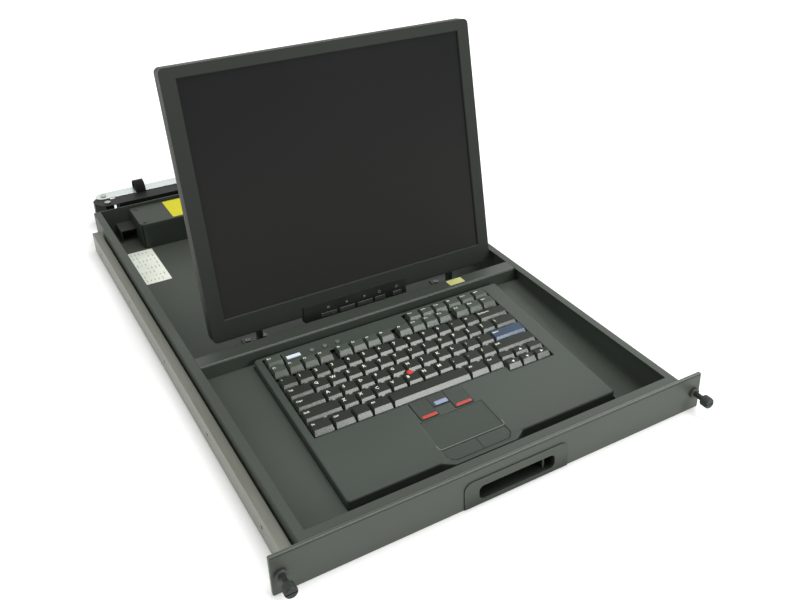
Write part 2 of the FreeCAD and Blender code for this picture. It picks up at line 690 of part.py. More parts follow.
polygon(openings, [
    (n.touch_left - gap, along(n.pad_btn_front) + cutback),
    (n.touch_left + cutback, along(n.pad_btn_front) - gap),
    (n.touch_right - cutback, along(n.pad_btn_front) - gap),
    (n.touch_right + gap, along(n.pad_btn_front) + cutback),
    (n.touch_right + gap, along(n.pad_btn_back) + gap),
    (n.touch_left - gap, along(n.pad_btn_back) + gap)])
top_row = (row_front[7] + field_back) / 2
bar_left = n.field_left + n.bar_btn_x
rectangle(openings, bar_left - gap, bar_left + n.bar_btn_width + gap,
          along(top_row) - n.bar_btn_depth / 2 - gap, along(top_row) + n.bar_btn_depth / 2 + gap)
round_xs = [n.field_left + n.round_btn_x + n.round_btn_step * i for i in range(3)]
for x in round_xs:
    circle(openings, x, along(top_row), n.round_btn_radius + gap)
pocket(housing, openings)
node("keyboard_top", housing)

base_top = n.board_foot + n.base_thick
plate_low = n.plate_top + n.key_plate_thick
base = new_body("KeyboardBase")
outline = sketch_on(base, "XY", n.board_foot)
polygon(outline, [(n.board_left, n.board_front)] + nose + [
    (board_right, n.board_front), (board_right, board_back), (n.board_left, board_back)])
pad(base, outline, n.board_edge - n.board_foot - n.seat_gap)
fillet(base, "z", [(x, y) for x in (n.board_left, board_right)
                   for y in (n.board_front, board_back)], n.board_round)
dish = sketch_on(base, "XY", n.board_edge)
rectangle(dish, n.board_left + n.board_wall, board_right - n.board_wall, inner_front, inner_back)
pocket(base, dish, n.board_edge - base_top)
ribs = []
for t in (n.rows_front + 2.5, row_front[3], row_front[5], row_front[6] - n.row_gap / 2):
    y = along(t)
    ribs.append(block(n.field_left, field_right, y, y + n.leaf_metal, base_top,
                      board_z(y) - plate_low / cos(n.board_slope)))
btn_floor = n.btn_drop + n.btn_travel + n.slide_gap
for x, t in ((n.stick_btn_left + 9, n.stick_btn_front + 9), (n.stick_btn_end - 9, n.stick_btn_front + 9),
             (n.touch_left + 12, n.touch_front + 8), (n.touch_right - 12, n.touch_back - 8),
             (n.touch_left + 16, n.pad_btn_back - 5), (n.touch_right - 16, n.pad_btn_back - 5)):
    y = along(t)
    ribs.append(block(x - 3, x + 3, y - 2, y + 2, base_top,
                      board_z(y - 2) - btn_floor / cos(n.board_slope)))
node("keyboard_base", join(base, *ribs))
feet = [rod(x, y, n.metal, 5, n.board_foot - n.metal)
        for x in (n.board_left + 14, board_right - 14)
        for y in (n.board_front + 16, board_back - 16)]
node("keyboard_feet", group(*feet))

# Keys: (start, width) in key widths from the left end of the field
LETTERS = {
    "number_row_keys": (5, [(i, 1) for i in range(13)] + [(13, 2)]),
    "upper_letter_keys": (4, [(0, 1.5)] + [(1.5 + i, 1) for i in range(12)] + [(13.5, 1.5)]),
    "home_row_keys": (3, [(0, 1.75)] + [(1.75 + i, 1) for i in range(11)]),
    "lower_letter_keys": (2, [(0, 2.25)] + [(2.25 + i, 1) for i in range(10)] + [(12.25, 2.75)]),
    "enter_key": (3, [(12.75, 2.25)]),
    "space_bar": (1, [(4.75, 5)]),
}
BOTTOM = [(0, 1.25), (1.25, 1.25), (2.5, 1), (3.5, 1.25), (9.75, 1.25), (11, 1)]
stems = []


def keycap(start, width, front, depth):
    """A tapered cap with a square stem that slides in the key plate."""
    wide = n.pitch * width - n.key_gap
    deep = depth - n.key_gap
    cap = doc.addObject("Part::Wedge", "Keycap")
    for prop, given in (("Xmin", 0), ("Xmax", wide), ("X2min", n.key_taper_x / 2),
                        ("X2max", wide - n.key_taper_x / 2), ("Ymin", 0),
                        ("Ymax", n.key_top + n.key_skirt), ("Zmin", 0), ("Zmax", deep),
                        ("Z2min", n.key_taper_y / 6), ("Z2max", deep - n.key_taper_y)):
        bind(cap, prop, given)
    left = n.field_left + n.pitch * start + n.key_gap / 2
    cap.Placement.Rotation = FreeCAD.Rotation(FreeCAD.Vector(1, 0, 0), 90)
    back = front + depth - n.key_gap / 2
    place(cap, left, back, -n.key_skirt)
    x = left + wide / 2
    y = back - deep / 2
    stems.append((x, y))
    side = n.key_stem / 2
    stem = block(x - side, x + side, y - side, y + side, -n.stem_end, -n.key_skirt)
    return join(cap, stem)


stick_t = row_front[3]
stick_room = rod(n.stick_x, stick_t, -n.key_skirt - 1, n.stick_radius + n.btn_gap,
                 n.key_skirt + n.key_top + 2)
for name, (row, keys) in LETTERS.items():
    caps = group(*[keycap(a, w, row_front[row], n.row_pitch) for a, w in keys])
    if name in ("home_row_keys", "lower_letter_keys"):
        caps = less(caps, stick_room)
    node(name, tilted(group(caps)))
bottom = [keycap(a, w, row_front[1], n.row_pitch) for a, w in BOTTOM]
bottom += [keycap(12 + i, 1, arrow_front + arrow_depth * line, arrow_depth)
           for line in (0, 1) for i in range(3)]
node("bottom_row_keys", tilted(group(*bottom)))
tops = [keycap(i * 0.93 + (i // 4) * 0.28, 0.93, row_front[6], n.fn_pitch) for i in range(12)]
tops += [keycap(12 + i, 1, row_front[line], n.fn_pitch) for line in (6, 7) for i in range(3)]
tops += [keycap(9.2 + i * 0.93, 0.93, row_front[7], n.fn_pitch) for i in range(3)]
tops += [keycap(0, 1.05, row_front[7], n.fn_pitch)]
node("function_keys", tilted(group(*tops)))

carrier = new_body("KeyPlate")
sheet_sk = sketch_on(carrier, "XY", -plate_low)
polygon(sheet_sk, [
    (n.field_left - 2, n.rows_front - 2), (arrow_left - 2, n.rows_front - 2),
    (arrow_left - 2, arrow_front - 2), (field_right + 2, arrow_front - 2),
    (field_right + 2, field_back + 2), (n.field_left - 2, field_back + 2)])
pad(carrier, sheet_sk, n.key_plate_thick)
side = n.key_stem / 2 + n.slide_gap
punches = [block(x - side, x + side, y - side, y + side, -plate_low - 1, -n.plate_top + 1)
           for x, y in stems]
node("key_plate", tilted(group(less(carrier, *punches))))

stick = revolved("StickCap", [
    (0, -n.plate_top), (1.5, -n.plate_top), (1.5, 0), (n.stick_radius - 0.5, 0),
    (n.stick_radius, 1.2), (n.stick_radius, n.key_top), (n.stick_radius - 1, n.key_top + 1),
    (0, n.key_top + 1.3)])
stick.Placement.Rotation = FreeCAD.Rotation(FreeCAD.Vector(1, 0, 0), 90)
place(stick, n.stick_x, stick_t, 0)
node("stick_cap", tilted(group(stick)))


def button(points, top, drop=n.btn_drop):
    return profile_body("Button", "XY", points, top + drop, offset=-drop)


def frame_of(x0, x1, y0, y1):
    return [(x0, y0), (x1, y0), (x1, y1), (x0, y1)]


inset = n.btn_gap / 2
node("stick_button_left", tilted(button(frame_of(
    n.stick_btn_left, n.stick_btn_mid - inset, n.stick_btn_front, n.stick_btn_back), n.btn_rise)))
node("stick_button_middle", tilted(button(frame_of(
    n.stick_btn_mid + inset, n.stick_btn_right - inset, n.mid_btn_front, n.stick_btn_back),
    n.btn_rise)))
node("stick_button_right", tilted(button(frame_of(
    n.stick_btn_right + inset, n.stick_btn_end, n.stick_btn_front, n.stick_btn_back), n.btn_rise)))
touch = profile_body("Touchpad", "XY", frame_of(
    n.touch_left, n.touch_right, n.touch_front, n.touch_back),
    btn_floor - n.touch_sink, offset=-btn_floor)
node("touchpad", tilted(touch))
node("pad_button_left", tilted(button([
    (n.touch_left, n.pad_btn_front + cutback + gap), (n.touch_left + cutback, n.pad_btn_front),
    (n.pad_btn_split - inset, n.pad_btn_front), (n.pad_btn_split - inset, n.pad_btn_back),
    (n.touch_left, n.pad_btn_back)], -n.touch_sink)))
node("pad_button_right", tilted(button([
    (n.touch_right, n.pad_btn_front + cutback + gap), (n.touch_right, n.pad_btn_back),
    (n.pad_btn_split + inset, n.pad_btn_back), (n.pad_btn_split + inset, n.pad_btn_front),
    (n.touch_right - cutback, n.pad_btn_front)], -n.touch_sink)))
node("bar_button", tilted(button(frame_of(
    bar_left, bar_left + n.bar_btn_width, top_row - n.bar_btn_depth / 2,
    top_row + n.bar_btn_depth / 2), n.btn_rise)))
rounds = [rod(x, top_row, -n.btn_drop, n.round_btn_radius, n.btn_drop + n.btn_rise) for x in round_xs]
node("round_buttons", tilted(group(*rounds)))


# Screen. Made upright, with Z up the screen and Y into its back, then leaned on its hinges.
def leaned(obj):
    turn(obj, (1, 0, 0), -n.screen_tilt)
    lean_cos = cos(n.screen_tilt)
    lean_sin = sin(n.screen_tilt)
    place(obj, n.screen_x, hinge_y - n.hinge_back * lean_cos - n.hinge_up * lean_sin,
          n.hinge_z + n.hinge_back * lean_sin - n.hinge_up * lean_cos)
    return obj


screen_half = screen_width / 2
hinge_us = [-n.hinge_offset, n.hinge_offset]
shell_corners = [(side * screen_half, z) for side in (-1, 1) for z in (0, screen_height)]
notch_half = n.notch_width / 2

bezel = new_body("Bezel")
rim = sketch_on(bezel, "XZ")
rectangle(rim, -screen_half, screen_half, 0, screen_height)
pad(bezel, rim, n.bezel_depth, back=True)
fillet(bezel, "y", shell_corners, n.screen_round)
back_room = sketch_on(bezel, "XZ", n.bezel_thick)
rectangle(back_room, -screen_half + n.shell_wall, screen_half - n.shell_wall,
          n.shell_wall, screen_height - n.shell_wall)
pocket(bezel, back_room, n.bezel_depth)
view = sketch_on(bezel, "XZ", -1)
view_half = n.view_width / 2 + n.view_gap
view_bottom = n.view_low - n.view_gap
view_top = n.view_low + n.view_height + n.view_gap
rectangle(view, n.view_shift - view_half, n.view_shift + view_half, view_bottom, view_top)
pocket(bezel, view, n.bezel_thick + 2)
bites = sketch_on(bezel, "XZ", n.bezel_thick)
for u in hinge_us:
    rectangle(bites, u - notch_half, u + notch_half, -1, n.shell_wall + 1)
pocket(bezel, bites, n.bezel_depth)
bevel(bezel, [("x", [(0, view_bottom), (0, view_top)]),
              ("z", [(n.view_shift - view_half, 0), (n.view_shift + view_half, 0)])], n.view_bevel)
node("screen_bezel", leaned(bezel))

glass_half = n.view_width / 2 + n.glass_border
glass_y = n.bezel_thick + n.seat_gap
node("lcd_panel", leaned(group(block(
    n.view_shift - glass_half, n.view_shift + glass_half, glass_y, glass_y + n.glass_depth,
    n.view_low - n.glass_border, n.view_low + n.view_height + n.glass_border))))

frame_y = glass_y + n.glass_depth + n.seat_gap
frame_low = n.notch_height + n.shell_wall
chassis = new_body("ScreenFrame")
sk = sketch_on(chassis, "XZ", frame_y)
frame_half = screen_half - n.shell_wall * 2
rectangle(sk, -frame_half, frame_half, frame_low, screen_height - n.shell_wall * 2)
pad(chassis, sk, n.frame_metal, back=True)
light = sketch_on(chassis, "XZ", frame_y - 1)
rectangle(light, -frame_half + n.bulge_inset, frame_half - n.bulge_inset,
          frame_low + n.bulge_inset, screen_height - n.bulge_inset)
pocket(chassis, light, n.frame_metal + 2)
node("screen_frame", leaned(chassis))

cover = new_body("RearCover")
cover_y = n.bezel_depth + n.seat_gap
sk = sketch_on(cover, "XZ", cover_y)
rectangle(sk, -screen_half, screen_half, 0, screen_height)
pad(cover, sk, n.screen_depth - cover_y, back=True)
fillet(cover, "y", shell_corners, n.screen_round)
sk = sketch_on(cover, "XZ", n.screen_depth)
hump = screen_half - n.bulge_inset
hump_low = n.bulge_inset
hump_high = screen_height - n.bulge_inset
rectangle(sk, -hump, hump, hump_low, hump_high)
pad(cover, sk, n.bulge_depth, back=True)
hump_y = n.screen_depth + n.bulge_depth
bevel(cover, [("x", [(hump_y, hump_low), (hump_y, hump_high)]),
              ("z", [(-hump, hump_y), (hump, hump_y)])], n.bulge_depth - n.view_bevel)
sk = sketch_on(cover, "XZ", cover_y - 1)
rectangle(sk, -screen_half + n.shell_wall, screen_half - n.shell_wall,
          n.shell_wall, screen_height - n.shell_wall)
pocket(cover, sk, n.screen_depth - cover_y - n.shell_wall + 1)
sk = sketch_on(cover, "XZ", cover_y)
room = n.bulge_depth + n.shell_wall
rectangle(sk, -hump + room, hump - room, hump_low + room, hump_high - room)
pocket(cover, sk, hump_y - cover_y - n.shell_wall)
sk = sketch_on(cover, "XZ", cover_y - 1)
for u in hinge_us:
    rectangle(sk, u - notch_half, u + notch_half, -1, n.notch_height)
pocket(cover, sk, n.screen_depth)
sk = sketch_on(cover, "XZ", hump_y - n.shell_wall - 1)
for side in (-1, 1):
    for i in range(9):
        z = screen_height / 2 + n.vent_step * (i - 4)
        middle = side * n.vent_length
        rectangle(sk, middle - n.vent_length / 2 + n.vent_width, middle + n.vent_length / 2 - n.vent_width,
                  z - n.vent_width / 2, z + n.vent_width / 2)
pocket(cover, sk, n.shell_wall + 2)
node("screen_rear_cover", leaned(cover))

# Control strip with five press buttons
strip = profile_body("ControlStrip", "YZ", [
    (-n.strip_proud, -n.strip_drop), (n.strip_depth, -n.strip_drop), (n.strip_depth, -n.seat_gap),
    (-n.seat_gap, -n.seat_gap), (-n.seat_gap, n.strip_rise), (-n.strip_proud, n.strip_rise)],
    n.strip_right - n.strip_left, offset=n.strip_left)
cells = sketch_on(strip, "XZ", -n.strip_proud - 1)
small = n.btn_gap / 2
strip_buttons = [("menu_button", n.menu_x, n.menu_width), ("left_button", n.left_x, n.left_width),
                 ("right_button", n.right_x, n.right_width), ("auto_button", n.auto_x, n.auto_width),
                 ("power_button", n.power_x, n.power_width)]
for name, x, wide in strip_buttons:
    start = n.strip_left + x
    rectangle(cells, start - small, start + wide + small,
              n.strip_btn_low - small, n.strip_btn_high + small)
cell_depth = n.strip_btn_depth + n.strip_btn_travel
pocket(strip, cells, cell_depth + 1)
node("control_strip", leaned(strip))
for name, x, wide in strip_buttons:
    start = n.strip_left + x
    front_y = -n.strip_proud - n.strip_btn_proud
    knob = block(start, start + wide, front_y, front_y + n.strip_btn_depth + n.strip_btn_proud,
                 n.strip_btn_low, n.strip_btn_high)
    node(name, leaned(group(knob)))

# Friction hinges: brackets on the tray, leaves on the screen's frame and pins through both
leaf_y = frame_y + n.frame_metal + n.seat_gap
leaf_half = n.leaf_width / 2
knuckle_half = n.knuckle_length / 2
knuckle_gap = knuckle_half + n.run_gap
leaves = []
for u in hinge_us:
    pieces = []
    for low, high in ((u - leaf_half, u - knuckle_gap), (u + knuckle_gap, u + leaf_half)):
        pieces.append(rod(low, n.hinge_back, n.hinge_up, n.knuckle_radius, high - low, (1, 0, 0)))
        pieces.append(block(low, high, leaf_y, leaf_y + n.leaf_metal, n.hinge_up,
                            n.notch_height))
    pieces.append(block(u - leaf_half, u + leaf_half, leaf_y, leaf_y + n.leaf_metal,
                        n.hinge_up + n.knuckle_radius * 2, n.hinge_up + n.leaf_height))
    bore_tool = rod(u - leaf_half - 1, n.hinge_back, n.hinge_up, n.pin_radius + n.shaft_gap,
                    n.leaf_width + 2, (1, 0, 0))
    leaves.append(less(join(*pieces), bore_tool))
node("hinge_leaves", leaned(group(*leaves)))
pins = []
for name, x in zip(("hinge_bracket_left", "hinge_bracket_right"), hinge_spots):
    knuckle = rod(x - knuckle_half, hinge_y, n.hinge_z, n.knuckle_radius, n.knuckle_length, (1, 0, 0))
    web_half = n.web_width / 2
    web = block(x - web_half, x + web_half, hinge_y - 4, hinge_y + 4, n.metal, n.hinge_z)
    foot = block(x - n.hinge_foot, x + n.hinge_foot, hinge_y - 8, foot_y + 8, n.metal, n.metal * 2)
    bore_tool = rod(x - n.leaf_width, hinge_y, n.hinge_z, n.pin_radius + n.seat_gap / 2,
                    n.leaf_width * 2, (1, 0, 0))
    drills = [rod(x + side * 10, foot_y, 0, n.screw_shank + n.slide_gap, 6) for side in (-1, 1)]
    node(name, less(join(knuckle, web, foot), bore_tool, *drills))
    pins.append(rod(x - leaf_half, hinge_y, n.hinge_z, n.pin_radius, n.leaf_width, (1, 0, 0)))
node("hinge_pins", group(*pins))

# Electronics box in the rear bay, with its board and the clip that holds it
box_right = box_left + n.box_width
box_back = box_front + n.box_depth
case_top = n.box_top - n.lid_thick
case = new_body("ElectronicsCase")
sk = sketch_on(case, "XY", n.metal)
rectangle(sk, box_left, box_right, box_front, box_back)
pad(case, sk, case_top - n.metal - n.seat_gap)
box_corners = [(box_left, box_front), (box_right, box_front)]
fillet(case, "z", box_corners, n.box_round)
sk = sketch_on(case, "XY", case_top)
rectangle(sk, box_left + n.box_wall, box_right - n.box_wall,
          box_front + n.box_wall, box_back - n.box_wall)
pocket(case, sk, case_top - n.metal - n.box_wall)
node("electronics_case", case)
lid = new_body("ElectronicsLid")
sk = sketch_on(lid, "XY", case_top)
rectangle(sk, box_left, box_right, box_front, box_back)
pad(lid, sk, n.lid_thick)
fillet(lid, "z", box_corners, n.box_round)
fillet(lid, "x", [(box_front, n.box_top)], n.bend)
node("electronics_lid", lid)
board_low = n.metal + n.box_wall
board = block(box_left + 12, box_right - 12, box_front + 6, box_back - 6, board_low + 5, board_low + 6.6)
posts = [rod(x, y, board_low, 3, 5) for x in (box_left + 18, box_right - 18)
         for y in (box_front + 12, box_back - 12)]
core = block(box_left + 30, box_left + 62, box_front + 16, box_back - 16, board_low + 6.6, board_low + 27)
cans = [rod(box_left + 80 + 16 * i, box_front + 22, board_low + 6.6, 6, 18) for i in range(3)]
node("power_board", join(board, core, *posts, *cans))
clip_back = n.tray_depth - n.metal
clip = profile_body("BoxClip", "XZ", [
    (clip_left, n.metal), (clip_left + 18, n.metal), (clip_left + 18, n.clip_top - n.metal),
    (box_left - n.seat_gap, n.clip_top - n.metal), (box_left - n.seat_gap, n.clip_top),
    (clip_left + 18 - n.metal, n.clip_top), (clip_left + 18 - n.metal, n.metal * 2),
    (clip_left, n.metal * 2)], n.clip_depth, offset=clip_back - n.clip_depth, back=True)
sk = sketch_on(clip, "XY", n.metal * 2)
circle(sk, floor_screws[6][0], floor_screws[6][1], n.screw_shank + n.slide_gap)
pocket(clip, sk, n.metal)
node("box_clip", clip)
heads = []
for x, y in floor_screws:
    shank = rod(x, y, n.metal * 0.2, n.screw_shank, n.metal * 1.8 + n.seat_gap)
    head = rod(x, y, n.metal * 2, n.screw_head, n.screw_head_thick)
    heads.append(join(shank, head))
node("floor_screws", group(*heads))

# Folding cable arm: two channels, an elbow between them and brackets at both ends
arm_mid = (n.arm_low + n.arm_high) / 2
hole_r = n.arm_pin + n.shaft_gap


def cable_arm(pivot_y, bored_ends):
    """A channel with round tabs at both ends, closed towards the front and open behind."""
    wall_y = pivot_y - n.arm_depth / 2
    high_y = pivot_y + n.arm_depth / 2
    pieces = [block(elbow_x + n.arm_end, arm_pivot_x - n.arm_end, wall_y, wall_y + n.arm_metal,
                    n.arm_low, n.arm_high)]
    for low in (n.arm_low, n.arm_high - n.arm_metal):
        pieces.append(block(elbow_x, arm_pivot_x, wall_y, high_y, low, low + n.arm_metal))
        for x in (elbow_x, arm_pivot_x):
            pieces.append(rod(x, pivot_y, low, n.arm_depth / 2, n.arm_metal))
    tools = [rod(x, pivot_y, n.arm_low - 1, hole_r, n.arm_high - n.arm_low + 2)
             for x in bored_ends]
    slots = [block(elbow_x + 40 + 62 * i, elbow_x + 74 + 62 * i, wall_y - 1, wall_y + n.arm_metal + 1,
                   arm_mid - 4, arm_mid + 4) for i in range(5)]
    return less(join(*pieces), *tools, *slots)


node("cable_arm_rear", cable_arm(rack_arm_y, (elbow_x, arm_pivot_x)))
front_arm = cable_arm(tray_arm_y, (elbow_x,))
stud = rod(arm_pivot_x, tray_arm_y, n.arm_low - n.tab_gap - n.arm_metal, n.arm_pin - n.shaft_gap,
           n.arm_high - n.arm_low + (n.tab_gap + n.arm_metal) * 2)
node("cable_arm_front", join(front_arm, stud))

link_low = n.arm_low + n.arm_metal + n.run_gap
link_high = n.arm_high - n.arm_metal - n.run_gap
elbow = profile_body("Elbow", "XY", [
    (elbow_x + 7, tray_arm_y - 8), (elbow_x + 7, rack_arm_y + 8), (elbow_x - 5, rack_arm_y + 9),
    (elbow_x - n.elbow_tip, (tray_arm_y + rack_arm_y) / 2 + 5),
    (elbow_x - n.elbow_tip, (tray_arm_y + rack_arm_y) / 2 - 5),
    (elbow_x - 5, tray_arm_y - 9)], link_high - link_low, offset=link_low)
pegs = [rod(elbow_x, y, n.arm_low - 1, n.arm_pin, n.arm_high - n.arm_low + 2)
        for y in (tray_arm_y, rack_arm_y)]
node("cable_arm_elbow", join(elbow, *pegs))

fork_low = n.arm_low - n.tab_gap
fork_high = n.arm_high + n.tab_gap
fork_x = arm_pivot_x - n.arm_tab
back_y = rack_arm_y + n.arm_depth / 2 + n.tab_gap * 3
rail_side = half + n.rail_thick + n.seat_gap
rack_fork = profile_body("RackBracket", "YZ", [
    (rack_arm_y - n.arm_tab, fork_high), (back_y, fork_high), (back_y, fork_low),
    (rack_arm_y - n.arm_tab, fork_low), (rack_arm_y - n.arm_tab, fork_low - n.metal),
    (back_y + n.metal, fork_low - n.metal), (back_y + n.metal, fork_high + n.metal),
    (rack_arm_y - n.arm_tab, fork_high + n.metal)],
    rail_side + n.metal - fork_x, offset=fork_x)
side_plate = block(rail_side, rail_side + n.metal, n.rail_start + rail_length - n.bracket_lap,
                   back_y + n.metal, fork_low - n.metal, fork_high + n.metal)
rivet = rod(arm_pivot_x, rack_arm_y, fork_low - n.metal, n.arm_pin,
            fork_high - fork_low + n.metal * 2)
node("rack_arm_bracket", join(rack_fork, side_plate, rivet))
hook_back = tray_arm_y + n.arm_tab
hook = profile_body("TrayBracket", "YZ", [
    (n.tray_depth, fork_low - n.metal), (hook_back, fork_low - n.metal), (hook_back, fork_low),
    (n.tray_depth + n.metal, fork_low), (n.tray_depth + n.metal, fork_high),
    (hook_back, fork_high), (hook_back, fork_high + n.metal), (n.tray_depth, fork_high + n.metal)],
    n.arm_tab * 2, offset=fork_x)
mouth_r = n.arm_pin
hook_slot = [rod(arm_pivot_x, tray_arm_y, 0, mouth_r, n.tray_top + 4),
             block(arm_pivot_x - mouth_r, arm_pivot_x + mouth_r, tray_arm_y, hook_back + 1,
                   0, n.tray_top + 4)]
node("tray_arm_bracket", less(hook, *hook_slot))

strap_in = n.arm_depth / 2 + n.slide_gap
strap_out = strap_in + n.strap_thick
strap_x1 = n.strap_x + n.strap_width
band = less(
    block(n.strap_x, strap_x1, rack_arm_y - strap_out, rack_arm_y + strap_out,
          n.arm_low - n.slide_gap - n.strap_thick, n.arm_high + n.slide_gap + n.strap_thick),
    block(n.strap_x - 1, strap_x1 + 1, rack_arm_y - strap_in, rack_arm_y + strap_in,
          n.arm_low - n.slide_gap, n.arm_high + n.slide_gap))
tail_z = n.arm_high + n.slide_gap + n.strap_thick / 2
tail_y = rack_arm_y - strap_out + n.tail_radius
tail = less(rod(n.strap_x, tail_y, tail_z, n.tail_radius, n.strap_width, (1, 0, 0)),
            rod(n.strap_x - 1, tail_y, tail_z, n.tail_radius - n.strap_thick, n.strap_width + 2, (1, 0, 0)),
            block(n.strap_x - 1, strap_x1 + 1, tail_y - n.tail_radius - 1, tail_y + n.tail_radius + 1,
                  tail_z - n.tail_radius - 1, tail_z))
node("hook_and_loop_strap", join(band, tail))

# Check every object, then write one file for each node
doc.recompute()
for obj in doc.Objects:
    if any(word in obj.State for word in ("Invalid", "Error")):
        raise RuntimeError("not built: " + obj.Name)
os.makedirs("parts", exist_ok=True)
for name, obj in nodes:
    shape = obj.Shape
    if shape.isNull() or not shape.isValid():
        raise RuntimeError("bad shape: " + name)
    shape.exportStep("parts/" + name + ".step")
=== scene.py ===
import math

import bmesh
import bpy
from mathutils import Euler, Matrix, Vector


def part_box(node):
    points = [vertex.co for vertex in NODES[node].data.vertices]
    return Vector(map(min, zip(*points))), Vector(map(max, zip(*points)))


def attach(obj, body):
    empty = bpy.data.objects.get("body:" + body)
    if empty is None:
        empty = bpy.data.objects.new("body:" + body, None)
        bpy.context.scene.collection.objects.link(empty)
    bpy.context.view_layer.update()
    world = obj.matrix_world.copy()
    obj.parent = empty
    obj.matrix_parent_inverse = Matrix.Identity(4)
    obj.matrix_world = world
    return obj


bl_info = {
    "name": "Rack console drawer",
    "version": (1, 0, 0),
    "blender": (4, 5, 0),
    "location": "View3D > Sidebar > Console Drawer",
    "description": "Finishes and small parts of a rack console drawer",
    "category": "Object",
}

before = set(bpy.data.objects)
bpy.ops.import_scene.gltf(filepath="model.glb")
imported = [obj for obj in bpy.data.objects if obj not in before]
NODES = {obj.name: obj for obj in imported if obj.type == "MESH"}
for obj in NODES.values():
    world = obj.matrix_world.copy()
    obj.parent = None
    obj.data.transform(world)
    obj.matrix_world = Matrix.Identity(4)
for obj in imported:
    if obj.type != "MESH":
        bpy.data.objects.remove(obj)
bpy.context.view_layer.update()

# The keyboard's slope and grid, as in the part's source, in metres
SLOPE = math.radians(4.6)
BOARD = Matrix.Translation((0, 0.048, 0.016)) @ Matrix.Rotation(SLOPE, 4, "X")
FIELD_LEFT = -0.138
PITCH = 0.01905
ROW_PITCH = 0.0195
FN_PITCH = 0.0174
ROWS_FRONT = 0.0923
KEY_TOP = 0.0034
ROW = {line: ROWS_FRONT + ROW_PITCH * (line - 1) for line in range(1, 6)}
ROW[6] = ROW[5] + ROW_PITCH + 0.005
ROW[7] = ROW[6] + FN_PITCH
ARROW_DEPTH = ROW_PITCH - 0.0055
ARROW_FRONT = ROW[2] - ARROW_DEPTH * 2

# Legends: inset from a cap's left and back, and the height of words against a letter's
LEGEND_LEFT = 0.0030
LEGEND_BACK = 0.0036
WORD = 0.62
FN_LEGEND_LEFT = 0.0028
FN_LEGEND_BACK = 0.0052
LONG_WORD = 0.46

# The screen's lean and its middle
LEAN = math.radians(10)
SCREEN = (Matrix.Translation((0.0155, 0.354, 0.0315)) @ Matrix.Rotation(-LEAN, 4, "X")
          @ Matrix.Translation((0, -0.010, -0.004)))

# Turns that set a flat mark upright, facing the front or the back
TOP_TO_FRONT = Matrix.Rotation(math.radians(90), 4, "X")
TOP_TO_BACK = Matrix.Rotation(math.radians(-90), 4, "X")

# Paper and print, in metres: a label's thickness and edge, a mark's thickness and its stand-off
SHEET = 0.00018
SHEET_EDGE = 0.00004
PRINT = 0.00003
PRINT_RISE = 0.00004
TRAY_FLOOR = 0.0015
FLOOR_SCREWS = ((-0.1245, 0.370), (-0.1045, 0.370), (0.1355, 0.370), (0.1555, 0.370),
                (-0.150, 0.29575), (0.150, 0.29575))
ELBOW_PINS = ((-0.186, 0.774), (-0.186, 0.801))

# The floor's glow, seen but not lighting: weak within the first reach, full beyond the second
GLOW_REACH = (0.9, 2.6)
GLOW_STRENGTH = (0.12, 0.9)
FLOOR_HALF = 6.0
WORLD_LIGHT = 0.60
# The camera as fitted to the photo, its turn in degrees
CAMERA_PLACE = (-0.3921, -0.5530, 0.6223)
CAMERA_TURN = (61.421, 0.387, -31.684)
CAMERA_LENS = 41.88
CAMERA_SHIFT = (-0.075, -0.05625)
LAMPS = (
    # name, place, target, size, watts
    ("top_lamp", (0.45, 0.1, 2.4), (0, 0.3, 0.05), 1.5, 31),
    ("front_lamp", (0.80, -1.55, 0.80), (0, 0.15, 0.03), 0.7, 17),
    ("left_lamp", (-1.5, 0.4, 1.9), (0, 0.4, 0.05), 1.3, 9),
    ("back_lamp", (1.7, 1.5, 1.7), (0, 0.3, 0.05), 0.9, 11),
)


def colour_property(name, description, default):
    return bpy.props.FloatVectorProperty(
        name=name, description=description, subtype="COLOR", default=default, min=0, max=1)


def length_property(name, description, default, low, high):
    return bpy.props.FloatProperty(
        name=name, description=description, unit="LENGTH", default=default, min=low, max=high)


class DrawerFinishes(bpy.types.PropertyGroup):
    """Colours of the drawer's main finishes."""
    paint: colour_property(
        "Charcoal paint", "Powder coat of the tray, bar and panel", (0.058, 0.068, 0.056))
    keyboard: colour_property("Keyboard plastic", "Shell around the keys", (0.048, 0.058, 0.048))
    keys: colour_property("Key plastic", "Caps of the letter keys", (0.024, 0.028, 0.022))
    function_keys: colour_property(
        "Function key plastic", "Caps of the function and corner keys", (0.058, 0.071, 0.057))
    bezel: colour_property("Bezel plastic", "Border and back of the screen", (0.025, 0.028, 0.024))
    blue: colour_property("Blue", "The Enter key", (0.040, 0.062, 0.098))
    red: colour_property("Red", "Pointing stick and button edges", (0.52, 0.040, 0.026))


class DrawerSizes(bpy.types.PropertyGroup):
    """Sizes of the small parts that the frame doesn't hold."""
    legend_height: length_property(
        "Legend height", "Height of a letter on a key", 0.0042, 0.001, 0.01)
    # Edge wear pales the edges: partly rubbed wear, partly a painted highlight
    edge_wear_and_highlight: bpy.props.FloatProperty(
        name="Edge wear", description="How much paler the rubbed edges are",
        subtype="FACTOR", default=0.30, min=0, max=1)
    edge_round: length_property(
        "Edge rounding", "Radius with which sharp edges catch the light", 0.0006, 0, 0.004)
    knurl_ridges: bpy.props.IntProperty(
        name="Knurl ridges", description="Ridges round a thumbscrew's head",
        default=28, min=6, max=80)
    screw_radius: length_property(
        "Screw head radius", "Small screws on the screen's back", 0.0028, 0.001, 0.006)
    lamp_level: bpy.props.FloatProperty(
        name="Lamp level", description="Strength of all the lamps together",
        default=1.0, min=0, max=4)


# Materials


MADE = {}


